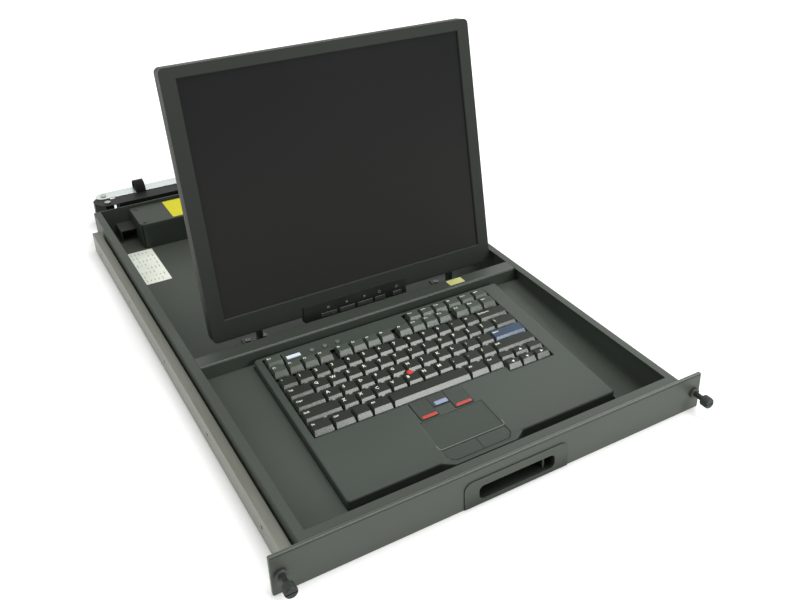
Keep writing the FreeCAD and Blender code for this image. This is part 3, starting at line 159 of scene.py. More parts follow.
def new_material(key):
    """A material named after its key and kept in MADE; gives its tree and shader."""
    made = MADE[key] = bpy.data.materials.new(key.title().replace("_", ""))
    made.use_nodes = True
    tree = made.node_tree
    tree.nodes.clear()
    out = tree.nodes.new("ShaderNodeOutputMaterial")
    shader = tree.nodes.new("ShaderNodeBsdfPrincipled")
    tree.links.new(shader.outputs["BSDF"], out.inputs["Surface"])
    return tree, shader


def node_of(tree, kind, **values):
    made = tree.nodes.new(kind)
    for key, value in values.items():
        if key.startswith("in_"):
            made.inputs[key[3:].replace("_", " ")].default_value = value
        else:
            setattr(made, key, value)
    return made


def object_noise(tree, coords, scale, detail, stretch=(1, 1, 1)):
    mapping = node_of(tree, "ShaderNodeMapping", in_Scale=stretch)
    tree.links.new(coords, mapping.inputs["Vector"])
    noise = node_of(tree, "ShaderNodeTexNoise", in_Scale=scale, in_Detail=detail, in_Roughness=0.55)
    tree.links.new(mapping.outputs["Vector"], noise.inputs["Vector"])
    return noise.outputs["Fac"]


def remap(tree, value, low, high, new_low, new_high):
    mapped = node_of(tree, "ShaderNodeMapRange", in_From_Min=low, in_From_Max=high,
                     in_To_Min=new_low, in_To_Max=new_high)
    tree.links.new(value, mapped.inputs["Value"])
    return mapped.outputs["Result"]


def scaled(colour, factor):
    return tuple(min(1.0, c * factor) for c in colour[:3]) + (1.0,)


def mix(tree, factor, first, second):
    """A colour mix; each side is a colour or a socket."""
    made = node_of(tree, "ShaderNodeMix", data_type="RGBA")
    tree.links.new(factor, made.inputs[0])
    for side, socket in ((first, made.inputs[6]), (second, made.inputs[7])):
        if isinstance(side, bpy.types.NodeSocket):
            tree.links.new(side, socket)
        else:
            socket.default_value = side
    return made.outputs[2]


def bump_from(tree, shader, height, strength, distance, normal=None):
    bumped = node_of(tree, "ShaderNodeBump", in_Strength=strength, in_Distance=distance)
    tree.links.new(height, bumped.inputs["Height"])
    if normal is not None:
        tree.links.new(normal, bumped.inputs["Normal"])
    tree.links.new(bumped.outputs["Normal"], shader.inputs["Normal"])


def surface(key, colour, rough=0.5, metal=0.0, grain=900.0, bump=0.12, patch=9.0, spread=0.12,
            stretch=(1, 1, 1), specular=0.5, wear_and_highlight=None, wear_and_highlight_factor=2.2, rough_spread=0.08,
            rounding=None, painted_shade_reach=0.0):
    """A finish with grain, uneven colour and gloss, edges paler as wear and painted highlight and,
    if asked, painted shade in hollows.
    """
    sizes = bpy.context.scene.drawer_sizes
    tree, shader = new_material(key)
    wire = tree.links.new
    coords = node_of(tree, "ShaderNodeTexCoord").outputs["Object"]
    fine = object_noise(tree, coords, grain, 5.0, stretch)
    broad = object_noise(tree, coords, patch, 3.0, stretch)
    base = mix(tree, remap(tree, broad, 0.3, 0.7, 0, 1),
               scaled(colour, 1 - spread), scaled(colour, 1 + spread))
    speck = remap(tree, fine, 0.35, 0.65, 0, 1)
    base = mix(tree, remap(tree, fine, 0.45, 0.75, 0, 0.35), base, scaled(colour, 1 + spread * 2.5))
    bevel = node_of(tree, "ShaderNodeBevel", samples=6,
                    in_Radius=sizes.edge_round if rounding is None else rounding)
    geometry = node_of(tree, "ShaderNodeNewGeometry")
    dot = node_of(tree, "ShaderNodeVectorMath", operation="DOT_PRODUCT")
    wire(bevel.outputs["Normal"], dot.inputs[0])
    wire(geometry.outputs["Normal"], dot.inputs[1])
    strength = sizes.edge_wear_and_highlight if wear_and_highlight is None else wear_and_highlight
    # Paler edges where the bevel normal bends: partly rubbed wear, partly a painted highlight
    edge = remap(tree, dot.outputs["Value"], 0.995, 0.82, 0, strength)
    base = mix(tree, edge, base, scaled(colour, wear_and_highlight_factor))
    # Painted shade: hollows within the given reach are darkened towards a far darker colour
    if painted_shade_reach:
        open_sky = node_of(tree, "ShaderNodeAmbientOcclusion", samples=8, in_Distance=painted_shade_reach)
        painted_shade_mask = remap(tree, open_sky.outputs["AO"], 0.25, 0.9, 1, 0)
        base = mix(tree, painted_shade_mask, base, scaled(colour, 0.12))
    wire(base, shader.inputs["Base Color"])
    rough_out = remap(tree, broad, 0.3, 0.7, rough - rough_spread, rough + rough_spread)
    wire(rough_out, shader.inputs["Roughness"])
    shader.inputs["Metallic"].default_value = metal
    shader.inputs["Specular IOR Level"].default_value = specular
    bump_from(tree, shader, speck, bump, 0.0002, bevel.outputs["Normal"])
    return tree, shader


def moulded_cap(key, colour, top_gloss=0.10, side_gloss=0.6, side_highlight_factor=2.0):
    """A key cap: a matt, grained top and smooth sides, painted brighter as a highlight."""
    tree, shader = surface(key, colour, rough=0.30, grain=2800, bump=0.05, patch=40, spread=0.08,
                           wear_and_highlight=0.55, wear_and_highlight_factor=3.5, rounding=0.0007)
    normal = node_of(tree, "ShaderNodeTexCoord").outputs["Normal"]
    parts = node_of(tree, "ShaderNodeSeparateXYZ")
    tree.links.new(normal, parts.inputs[0])

    def by_slope(side, top):
        return remap(tree, parts.outputs["Z"], 0.70, 0.95, side, top)

    tree.links.new(by_slope(side_gloss, top_gloss), shader.inputs["Specular IOR Level"])
    tree.links.new(by_slope(0.20, 0.50), shader.inputs["Roughness"])
    worn_and_highlit = shader.inputs["Base Color"].links[0].from_socket
    # Painted highlight: the steep sides are mixed towards a lighter colour
    painted_side_highlight = mix(tree, by_slope(0.6, 0), worn_and_highlit, scaled(colour, side_highlight_factor))
    tree.links.new(painted_side_highlight, shader.inputs["Base Color"])


def brushed(key, colour, along="Y", rough=0.34, dirt=0.25):
    """Drawn or plated steel with fine lines along the rail and dull patches."""
    stretch = {"X": (0.02, 1, 1), "Y": (1, 0.02, 1), "Z": (1, 1, 0.02)}[along]
    surface(key, colour, rough=rough, metal=0.85, grain=1500.0, bump=0.18, patch=26.0, spread=dirt,
            stretch=stretch, wear_and_highlight=0.35, wear_and_highlight_factor=1.5, rough_spread=0.10)


def woven(key, colour):
    """Hook-and-loop fabric: a fine weave with fuzz."""
    tree, shader = new_material(key)
    wire = tree.links.new
    coords = node_of(tree, "ShaderNodeTexCoord").outputs["Object"]
    waves = []
    for direction in ("X", "Z"):
        wave = node_of(tree, "ShaderNodeTexWave", wave_type="BANDS", bands_direction=direction,
                       in_Scale=260.0, in_Distortion=1.2, in_Detail=2.0)
        wire(coords, wave.inputs["Vector"])
        waves.append(wave.outputs["Fac"])
    height = node_of(tree, "ShaderNodeMath", operation="MULTIPLY")
    wire(waves[0], height.inputs[0])
    wire(waves[1], height.inputs[1])
    fuzz = object_noise(tree, coords, 1400.0, 6.0)
    both = node_of(tree, "ShaderNodeMath", operation="ADD")
    wire(height.outputs[0], both.inputs[0])
    wire(fuzz, both.inputs[1])
    colours = mix(tree, fuzz, scaled(colour, 0.6), scaled(colour, 1.8))
    wire(colours, shader.inputs["Base Color"])
    shader.inputs["Roughness"].default_value = 0.92
    shader.inputs["Sheen Weight"].default_value = 0.08
    shader.inputs["Specular IOR Level"].default_value = 0.15
    shader.inputs["Sheen Roughness"].default_value = 0.5
    bump_from(tree, shader, both.outputs[0], 0.6, 0.0004)


def screen_film(key):
    """The panel's anti-glare film: nearly black and lighter towards the bottom as a painted
    reflection, with a soft haze and a hint of dust.
    """
    tree, shader = new_material(key)
    coords = node_of(tree, "ShaderNodeTexCoord").outputs["Object"]
    haze = object_noise(tree, coords, 4.0, 2.0)
    dust = object_noise(tree, coords, 2600.0, 2.0)
    height = node_of(tree, "ShaderNodeSeparateXYZ")
    tree.links.new(coords, height.inputs[0])
    # Painted reflection: the film is mixed lighter towards its bottom
    low = remap(tree, height.outputs["Z"], 0.30, 0.06, 0, 1)
    base = mix(tree, low, (0.0130, 0.0132, 0.0134, 1), (0.0250, 0.0254, 0.0236, 1))
    base = mix(tree, remap(tree, dust, 0.72, 0.8, 0, 0.25), base, (0.05, 0.05, 0.048, 1))
    tree.links.new(base, shader.inputs["Base Color"])
    tree.links.new(remap(tree, haze, 0.3, 0.7, 0.36, 0.44), shader.inputs["Roughness"])
    shader.inputs["Specular IOR Level"].default_value = 0.04
    bump_from(tree, shader, dust, 0.05, 0.0001)


def circuit_board(key):
    """A green board with copper tracks and darker parts."""
    tree, shader = new_material(key)
    coords = node_of(tree, "ShaderNodeTexCoord").outputs["Object"]
    brick = node_of(tree, "ShaderNodeTexBrick", in_Scale=60.0, in_Mortar_Size=0.03,
                    in_Color1=(0.020, 0.120, 0.050, 1), in_Color2=(0.014, 0.085, 0.038, 1),
                    in_Mortar=(0.10, 0.20, 0.07, 1))
    tree.links.new(coords, brick.inputs["Vector"])
    cells = object_noise(tree, coords, 90.0, 1.0)
    parts = remap(tree, cells, 0.56, 0.6, 0, 1)
    base = mix(tree, parts, brick.outputs["Color"], (0.03, 0.03, 0.03, 1))
    tree.links.new(base, shader.inputs["Base Color"])
    shader.inputs["Roughness"].default_value = 0.45
    bump_from(tree, shader, cells, 0.3, 0.0005)


def seen_background(tree):
    """One for the rays that see the white background, none for the rays that light the part."""
    path = node_of(tree, "ShaderNodeLightPath")
    seen = path.outputs["Is Camera Ray"]
    for kind in ("Is Glossy Ray", "Is Transmission Ray"):
        either = node_of(tree, "ShaderNodeMath", operation="MAXIMUM")
        tree.links.new(seen, either.inputs[0])
        tree.links.new(path.outputs[kind], either.inputs[1])
        seen = either.outputs[0]
    return seen


def backdrop(key):
    """The pale floor, with a glow that only eyes and reflections see."""
    tree, shader = new_material(key)
    wire = tree.links.new
    coords = node_of(tree, "ShaderNodeTexCoord").outputs["Object"]
    tint = object_noise(tree, coords, 0.8, 2.0)
    base = mix(tree, tint, (0.93, 0.93, 0.925, 1), (0.95, 0.95, 0.945, 1))
    wire(base, shader.inputs["Base Color"])
    shader.inputs["Roughness"].default_value = 0.8
    shader.inputs["Specular IOR Level"].default_value = 0.1
    out = next(n for n in tree.nodes if n.type == "OUTPUT_MATERIAL")
    # The glow is weak by the object, so its shadow stays, and strong far out, so the horizon goes
    glow = node_of(tree, "ShaderNodeEmission", in_Color=(1, 1, 1, 1))
    away = node_of(tree, "ShaderNodeVectorMath", operation="LENGTH")
    wire(coords, away.inputs[0])
    rise = remap(tree, away.outputs["Value"], *GLOW_REACH, *GLOW_STRENGTH)
    wire(rise, glow.inputs["Strength"])
    both = node_of(tree, "ShaderNodeAddShader")
    wire(shader.outputs["BSDF"], both.inputs[0])
    wire(glow.outputs["Emission"], both.inputs[1])
    choose = node_of(tree, "ShaderNodeMixShader")
    wire(seen_background(tree), choose.inputs[0])
    wire(shader.outputs["BSDF"], choose.inputs[1])
    wire(both.outputs["Shader"], choose.inputs[2])
    wire(choose.outputs["Shader"], out.inputs["Surface"])


def make_finishes():
    """Makes every finish of the drawer; each keeps itself in MADE under its key."""
    tones = bpy.context.scene.drawer_finishes
    paint, shell, bezel, red = tones.paint, tones.keyboard, tones.bezel, tones.red
    # Paler edges are partly wear and partly painted highlight, strongest on the bar, panel, lid,
    # dark arm and screws
    surface("powder_coat", paint, rough=0.42, grain=1500, bump=0.22, patch=5, spread=0.08,
            specular=0.12, rough_spread=0.04)
    surface("bar_coat", scaled(paint, 0.75), rough=0.32, grain=1500, bump=0.14, patch=6,
            spread=0.06, specular=0.32, wear_and_highlight=0.9, wear_and_highlight_factor=3.2, rounding=0.0010,
            rough_spread=0.02)
    surface("panel_coat", scaled(paint, 1.12), rough=0.36, grain=1700, bump=0.16, patch=7,
            spread=0.05, wear_and_highlight=0.9, wear_and_highlight_factor=3.4, specular=0.25, rough_spread=0.02,
            rounding=0.0012)
    surface("box_coat", scaled(paint, 0.7), rough=0.40, grain=1300, bump=0.2, patch=12, spread=0.10,
            specular=0.12)
    surface("lid_coat", (0.042, 0.050, 0.040), rough=0.40, grain=1300, bump=0.2, patch=12,
            spread=0.08, wear_and_highlight=0.9, wear_and_highlight_factor=4.0, specular=0.12)
    brushed("zinc_steel", (0.20, 0.205, 0.175), "Y", rough=0.46)
    brushed("rail_steel", (0.32, 0.33, 0.29), "Y", rough=0.36)
    brushed("arm_steel", (0.64, 0.70, 0.67), "X", rough=0.30, dirt=0.12)
    surface("arm_dark", (0.011, 0.013, 0.012), rough=0.38, grain=1400, bump=0.12, patch=20,
            wear_and_highlight=0.7, wear_and_highlight_factor=9.0, specular=0.10)
    brushed("bracket_steel", (0.16, 0.165, 0.15), "Z", rough=0.45)
    surface("bracket_black", (0.034, 0.038, 0.033), rough=0.40, grain=1400, bump=0.15, patch=30,
            wear_and_highlight=0.5, wear_and_highlight_factor=3.0, specular=0.35)
    brushed("cage_steel", (0.42, 0.38, 0.25), "Y")
    brushed("pin_steel", (0.42, 0.42, 0.40), "X", rough=0.22)
    # The handle's pocket is darkened as painted shade
    surface("handle_plastic", scaled(paint, 1.15), rough=0.46, grain=2400, bump=0.2, patch=20,
            specular=0.15, wear_and_highlight=0.5, painted_shade_reach=0.03)
    surface("screw_black", (0.020, 0.025, 0.020), rough=0.34, grain=2000, bump=0.1, patch=60,
            wear_and_highlight=0.6, wear_and_highlight_factor=5.0, specular=0.25)
    surface("keyboard_shell", shell, rough=0.44, grain=2600, bump=0.25, patch=6, spread=0.06,
            specular=0.2, rounding=0.0028, wear_and_highlight=0.5, wear_and_highlight_factor=2.0, rough_spread=0.03)
    surface("button_shell", scaled(shell, 0.8), rough=0.40, grain=2600, bump=0.2, patch=20,
            specular=0.2, wear_and_highlight=0.6)
    surface("pad_surface", scaled(shell, 0.92), rough=0.48, grain=3200, bump=0.35, patch=15,
            spread=0.05, specular=0.18, wear_and_highlight=0.7)
    moulded_cap("key_caps", tones.keys, side_gloss=0.38, side_highlight_factor=2.8)
    moulded_cap("function_caps", tones.function_keys, side_gloss=0.22, side_highlight_factor=1.25)
    moulded_cap("blue_cap", tones.blue, side_gloss=0.4, side_highlight_factor=1.6)
    surface("pale_blue", (0.66, 0.72, 0.80), rough=0.25, grain=1800, bump=0.05, patch=80)
    # The touchpad rim's pale colour is a painted highlight
    surface("rim_painted_highlight", scaled(shell, 2.6), rough=0.35, grain=2600, bump=0.1, patch=40,
            specular=0.4)
    surface("grey_button", (0.11, 0.12, 0.11), rough=0.35, grain=1800, bump=0.1, patch=80, wear_and_highlight=0.7)
    surface("key_plate", (0.010, 0.011, 0.010), rough=0.6, grain=1200, bump=0.2, patch=20)
    surface("red_rubber", red, rough=0.62, grain=1900, bump=0.7, patch=200, spread=0.15, wear_and_highlight=0.2,
            specular=0.35)
    surface("red_edge", scaled(red, 0.8), rough=0.5, grain=1800, bump=0.1, patch=100)
    surface("blue_edge", (0.22, 0.26, 0.38), rough=0.4, grain=1800, bump=0.1, patch=100)
    surface("foot_rubber", (0.012, 0.012, 0.012), rough=0.8, grain=900, bump=0.4, specular=0.3)
    surface("bezel_plastic", bezel, rough=0.50, grain=2600, bump=0.22, patch=5, spread=0.06,
            wear_and_highlight=0.35, wear_and_highlight_factor=2.6, specular=0.12)
    surface("cover_plastic", scaled(bezel, 1.25), rough=0.55, grain=1700, bump=0.35, patch=6,
            spread=0.08, specular=0.2)
    surface("strip_plastic", scaled(bezel, 0.6), rough=0.40, grain=2600, bump=0.12, patch=20,
            specular=0.2)
    surface("strip_button", (0.055, 0.060, 0.057), rough=0.30, grain=2600, bump=0.1, patch=60,
            wear_and_highlight=0.9, wear_and_highlight_factor=4.0)
    brushed("frame_steel", (0.5, 0.5, 0.48), "X")
    screen_film("screen_film")
    circuit_board("circuit_board")
    woven("hook_and_loop", (0.007, 0.0075, 0.007))
    surface("legend_ink", (0.74, 0.78, 0.68), rough=0.6, grain=4000, bump=0.02, patch=300,
            spread=0.1, wear_and_highlight=0.0)
    surface("soft_mark", (0.28, 0.30, 0.27), rough=0.6, grain=4000, bump=0.02, patch=300, wear_and_highlight=0.0)
    surface("white_label", (0.76, 0.80, 0.70), rough=0.55, grain=1100, bump=0.12, patch=30,
            spread=0.05, wear_and_highlight=0.1)
    surface("label_rule", (0.30, 0.33, 0.29), rough=0.6, grain=2600, bump=0.02, patch=200, wear_and_highlight=0.0)
    surface("yellow_label", (0.58, 0.53, 0.010), rough=0.5, grain=1100, bump=0.08, patch=30,
            spread=0.06, wear_and_highlight=0.1, specular=0.2)
    surface("pale_sticker", (0.46, 0.45, 0.17), rough=0.5, grain=1500, bump=0.1, patch=60, wear_and_highlight=0.1)
    # Near-black painted shade for the screw recesses and the panel's groove
    surface("recess_painted_shade", (0.006, 0.006, 0.006), rough=0.7, grain=1500, bump=0.1, wear_and_highlight=0.0)
    backdrop("studio_floor")


def finish_of(key):
    """A finish by its key; the first call makes them all."""
    if not MADE:
        make_finishes()
    return MADE[key]

NODE_FINISH = {
    "powder_coat": ["tray", "rack_arm_bracket", "tray_arm_bracket"],
    "bar_coat": ["crossbar"],
    "panel_coat": ["front_panel"],
    "box_coat": ["electronics_case"],
    "lid_coat": ["electronics_lid"],
    "zinc_steel": ["outer_rail_right", "outer_rail_left"],
    "rail_steel": ["mid_rail_right", "mid_rail_left", "inner_rail_right", "inner_rail_left"],
    "arm_steel": ["cable_arm_rear"],
    "arm_dark": ["cable_arm_front", "cable_arm_elbow"],
    "bracket_black": ["hinge_leaves", "hinge_bracket_left", "hinge_bracket_right", "box_clip",
                      "thumbscrew_ferrules"],
    "bracket_steel": ["floor_screws"],
    "cage_steel": ["ball_cages"],
    "pin_steel": ["hinge_pins"],
    "handle_plastic": ["handle_cup"],
    "screw_black": ["thumbscrew_left", "thumbscrew_right"],
    "keyboard_shell": ["keyboard_top", "keyboard_base"],
    "button_shell": ["stick_button_left", "stick_button_middle", "stick_button_right",
                     "pad_button_left", "pad_button_right"],
    "pad_surface": ["touchpad"],
    "key_caps": ["number_row_keys", "upper_letter_keys", "home_row_keys", "lower_letter_keys",
                 "space_bar", "bottom_row_keys"],
    "function_caps": ["function_keys"],
    "blue_cap": ["enter_key"],
    "pale_blue": ["bar_button"],
    "grey_button": ["round_buttons"],
    "key_plate": ["key_plate"],
    "red_rubber": ["stick_cap"],
    "foot_rubber": ["keyboard_feet"],
    "bezel_plastic": ["screen_bezel"],
    "cover_plastic": ["screen_rear_cover"],
    "strip_plastic": ["control_strip"],
    "strip_button": ["menu_button", "left_button", "right_button", "auto_button", "power_button"],
    "frame_steel": ["screen_frame"],
    "screen_film": ["lcd_panel"],
    "circuit_board": ["power_board"],
    "hook_and_loop": ["hook_and_loop_strap"],
}


# Mesh helpers


def link(obj):
    bpy.context.scene.collection.objects.link(obj)
    return obj


def piece_of(name, bm, finish):
    """Turns a bmesh into a finished object at the origin."""
    mesh = bpy.data.meshes.new(name)
    bm.to_mesh(mesh)
    bm.free()
    piece = link(bpy.data.objects.new(name, mesh))
    piece.data.materials.append(finish_of(finish))
    return piece


def mesh_piece(name, bm, finish, body):
    """A piece that rides on a body, its doubles merged and its faces turned outward."""
    bmesh.ops.remove_doubles(bm, verts=bm.verts, dist=1e-7)
    bmesh.ops.recalc_face_normals(bm, faces=bm.faces)
    piece = piece_of(name, bm, finish)
    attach(piece, body)


def rounded_plate(bm, place, x0, x1, y0, y1, thick, corner, steps=5, bevel=0.0):
    """A thin plate with round corners, its underside on the place's XY plane."""
    outline = []
    corners = ((x1 - corner, y1 - corner, 0), (x0 + corner, y1 - corner, 90),
               (x0 + corner, y0 + corner, 180), (x1 - corner, y0 + corner, 270))
    for cx, cy, start in corners:
        for i in range(steps + 1):
            a = math.radians(start + 90 * i / steps)
            outline.append((cx + corner * math.cos(a), cy + corner * math.sin(a)))
    mx, my = (x0 + x1) / 2, (y0 + y1) / 2
    rings = [(1.0, 0.0), (1.0, thick - bevel)]
    if bevel:
        rings.append((1.0 - 2 * bevel / min(x1 - x0, y1 - y0), thick))
    loops = []
    for shrink, z in rings:
        loops.append([
            bm.verts.new(place @ Vector((mx + (x - mx) * shrink, my + (y - my) * shrink, z)))
            for x, y in outline])
    for low, high in zip(loops, loops[1:]):
        for i in range(len(low)):
            j = (i + 1) % len(low)
            bm.faces.new((low[i], low[j], high[j], high[i]))
    bm.faces.new(loops[-1])
    bm.faces.new(list(reversed(loops[0])))


def block(bm, low, high):
    """A plain box between two corners."""
    made = bmesh.ops.create_cube(bm, size=1.0)["verts"]
    low, high = Vector(low), Vector(high)
    for vert in made:
        vert.co = Vector([low[i] if vert.co[i] < 0 else high[i] for i in range(3)])


def ridge_along(bm, place, path, width, height, steps=6):
    """A low half-round ridge that follows a flat path, its ends closed."""
    rows = []
    for i, spot in enumerate(path):
        before, after = Vector(path[max(i - 1, 0)]), Vector(path[min(i + 1, len(path) - 1)])
        along = (after - before).normalized()
        side = Vector((-along.y, along.x))
        row = []
        for j in range(steps + 1):
            a = math.pi * j / steps
            flat = Vector(spot) + side * (math.cos(a) * width / 2)
            row.append(bm.verts.new(place @ Vector((flat.x, flat.y, math.sin(a) * height))))
        rows.append(row)
    for first, second in zip(rows, rows[1:]):
        for j in range(steps):
            bm.faces.new((first[j], first[j + 1], second[j + 1], second[j]))
        bm.faces.new((first[0], second[0], second[steps], first[steps]))
    bm.faces.new(rows[0])
    bm.faces.new(rows[-1])


def text_into(bm, words, place, height):
    """Adds flat lettering, its lower left at the place's origin."""
    curve = bpy.data.curves.new("lettering", "FONT")
    curve.body = words
    curve.size = height * 1.35
    curve.resolution_u = 1
    curve.offset = height * 0.03
    shown = link(bpy.data.objects.new("lettering", curve))
    bpy.context.view_layer.update()
    graph = bpy.context.evaluated_depsgraph_get()
    mesh = bpy.data.meshes.new_from_object(shown.evaluated_get(graph))
    mesh.transform(place)
    bm.from_mesh(mesh)
    bpy.data.objects.remove(shown)
    bpy.data.curves.remove(curve)
    bpy.data.meshes.remove(mesh)


def arrow_into(bm, place, size, turn):
    """Adds a flat arrow head that points along turn, in degrees."""
    corners = []
    for angle in (90, 210, 330):
        a = math.radians(angle + turn)
        corners.append(bm.verts.new(place @ Vector((size * math.cos(a), size * math.sin(a), 0))))
    bm.faces.new(corners)


# Geometry Nodes


def new_tree(name, **inputs):
    """A tree with geometry in and out and an input for each value; gives its two end nodes too."""
    tree = bpy.data.node_groups.new(name, "GeometryNodeTree")
    tree.interface.new_socket(name="Geometry", in_out="INPUT", socket_type="NodeSocketGeometry")
    for label, value in inputs.items():
        kind = "NodeSocketInt" if isinstance(value, int) else "NodeSocketFloat"
        made = tree.interface.new_socket(name=label, in_out="INPUT", socket_type=kind)
        made.default_value = value
    tree.interface.new_socket(name="Geometry", in_out="OUTPUT", socket_type="NodeSocketGeometry")
    return tree, tree.nodes.new("NodeGroupInput"), tree.nodes.new("NodeGroupOutput")


def finish_tree(tree, leave, geometry, material):
    """Ends a tree in Realize Instances and Set Material."""
    real = tree.nodes.new("GeometryNodeRealizeInstances")
    paint = node_of(tree, "GeometryNodeSetMaterial", in_Material=material)
    tree.links.new(geometry, real.inputs["Geometry"])
    tree.links.new(real.outputs["Geometry"], paint.inputs["Geometry"])
    tree.links.new(paint.outputs["Geometry"], leave.inputs["Geometry"])


def times(tree, value, factor):
    made = node_of(tree, "ShaderNodeMath", operation="MULTIPLY")
    made.inputs[1].default_value = factor
    tree.links.new(value, made.inputs[0])
    return made.outputs[0]


def set_on_points(tree, points, shape):
    spots = tree.nodes.new("GeometryNodeInstanceOnPoints")
    tree.links.new(points, spots.inputs["Points"])
    tree.links.new(shape, spots.inputs["Instance"])
    return spots


def run_tree(name, spots, tree, body, place=None, **values):
    """Runs a tree on points, keeps the result as a plain mesh at the origin and lets it ride."""
    points = bpy.data.meshes.new(name + "_points")
    points.from_pydata(spots, [], [])
    holder = link(bpy.data.objects.new(name + "_source", points))
    modifier = holder.modifiers.new("Nodes", "NODES")
    modifier.node_group = tree
    for item in tree.interface.items_tree:
        if item.name in values:
            modifier[item.identifier] = values[item.name]
    bpy.context.view_layer.update()
    graph = bpy.context.evaluated_depsgraph_get()
    mesh = bpy.data.meshes.new_from_object(holder.evaluated_get(graph))
    bpy.data.objects.remove(holder)
    if not len(mesh.vertices):
        raise RuntimeError(name + " came out empty")
    if place is not None:
        mesh.transform(place)
    mesh.name = name
    piece = link(bpy.data.objects.new(name, mesh))
    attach(piece, body)


def screw_tree(material):
    """Screw heads at the points, facing +Z: a cone top on a short drum."""
    tree, entry, leave = new_tree("ScrewHeads", Radius=0.003, Height=0.001)
    wire = tree.links.new
    drum = node_of(tree, "GeometryNodeMeshCylinder", in_Vertices=20)
    wire(entry.outputs["Radius"], drum.inputs["Radius"])
    wire(entry.outputs["Height"], drum.inputs["Depth"])
    cap = node_of(tree, "GeometryNodeMeshCone", in_Vertices=20)
    wire(times(tree, entry.outputs["Radius"], 0.72), cap.inputs["Radius Top"])
    wire(entry.outputs["Radius"], cap.inputs["Radius Bottom"])
    half = times(tree, entry.outputs["Height"], 0.5)
    wire(half, cap.inputs["Depth"])
    lift = tree.nodes.new("GeometryNodeTransform")
    up = tree.nodes.new("ShaderNodeCombineXYZ")
    wire(half, up.inputs["Z"])
    wire(cap.outputs["Mesh"], lift.inputs["Geometry"])
    wire(up.outputs["Vector"], lift.inputs["Translation"])
    both = tree.nodes.new("GeometryNodeJoinGeometry")
    wire(drum.outputs["Mesh"], both.inputs["Geometry"])
    wire(lift.outputs["Geometry"], both.inputs["Geometry"])
    spots = set_on_points(tree, entry.outputs["Geometry"], both.outputs["Geometry"])
    finish_tree(tree, leave, spots.outputs["Instances"], material)
    return tree


def cross_tree(material):
    """Cross recesses at the points, facing +Z: two thin bars sunk into a head."""
    tree, entry, leave = new_tree("CrossRecesses", Length=0.003, Depth=0.0002)
    wire = tree.links.new
    bars = tree.nodes.new("GeometryNodeJoinGeometry")
    for first, second in (("X", "Y"), ("Y", "X")):
        bar = tree.nodes.new("GeometryNodeMeshCube")
        sides = tree.nodes.new("ShaderNodeCombineXYZ")
        wire(entry.outputs["Length"], sides.inputs[first])
        wire(times(tree, entry.outputs["Length"], 0.2), sides.inputs[second])
        wire(entry.outputs["Depth"], sides.inputs["Z"])
        wire(sides.outputs["Vector"], bar.inputs["Size"])
        wire(bar.outputs["Mesh"], bars.inputs["Geometry"])
    spots = set_on_points(tree, entry.outputs["Geometry"], bars.outputs["Geometry"])
    finish_tree(tree, leave, spots.outputs["Instances"], material)
    return tree


def knurl_tree(material):
    """Straight ridges round an axis along Z: bars set on the points of a circle."""
    tree, entry, leave = new_tree(
        "KnurlRidges", Ridges=28, Radius=0.0058, Length=0.008, Width=0.0007)
    wire = tree.links.new
    ring = tree.nodes.new("GeometryNodeMeshCircle")
    wire(entry.outputs["Ridges"], ring.inputs["Vertices"])
    wire(entry.outputs["Radius"], ring.inputs["Radius"])
    bar = node_of(tree, "GeometryNodeMeshCylinder", in_Vertices=6)
    wire(entry.outputs["Width"], bar.inputs["Radius"])
    wire(entry.outputs["Length"], bar.inputs["Depth"])
    spots = set_on_points(tree, ring.outputs["Mesh"], bar.outputs["Mesh"])
    finish_tree(tree, leave, spots.outputs["Instances"], material)
    return tree


def rule_tree(material):
    """Blank ruled lines on a label: one bar of uneven length on each point."""
    tree, entry, leave = new_tree("LabelRules", Length=0.006, Width=0.0008, Seed=3)
    wire = tree.links.new
    bar = tree.nodes.new("GeometryNodeMeshCube")
    sides = node_of(tree, "ShaderNodeCombineXYZ", in_Z=0.00005)
    wire(entry.outputs["Width"], sides.inputs["X"])
    wire(entry.outputs["Length"], sides.inputs["Y"])
    wire(sides.outputs["Vector"], bar.inputs["Size"])
    chance = node_of(tree, "FunctionNodeRandomValue", data_type="FLOAT")
    shortest, longest = chance.inputs[2], chance.inputs[3]
    shortest.default_value, longest.default_value = 0.45, 1.0
    wire(entry.outputs["Seed"], chance.inputs["Seed"])
    stretch = node_of(tree, "ShaderNodeCombineXYZ", in_X=1.0, in_Z=1.0)
    wire(chance.outputs[1], stretch.inputs["Y"])
    spots = set_on_points(tree, entry.outputs["Geometry"], bar.outputs["Mesh"])
    wire(stretch.outputs["Vector"], spots.inputs["Scale"])
    finish_tree(tree, leave, spots.outputs["Instances"], material)
    return tree


# Operators


class DRAWER_OT_finishes(bpy.types.Operator):
    """Give every part of the frame its finish"""
    bl_idname = "drawer.finishes"
    bl_label = "Finishes"

    def execute(self, context):
        given = set()
        for finish, names in NODE_FINISH.items():
            for name in names:
                NODES[name].data.materials.clear()
                NODES[name].data.materials.append(finish_of(finish))
                given.add(name)
        left = set(NODES) - given
        if left:
            raise RuntimeError("no finish for " + ", ".join(sorted(left)))
        return {"FINISHED"}


def letters(start, row):
    """One-pitch keys from a column on, each with its letter."""
    return [(start + i, letter) for i, letter in enumerate(row)]


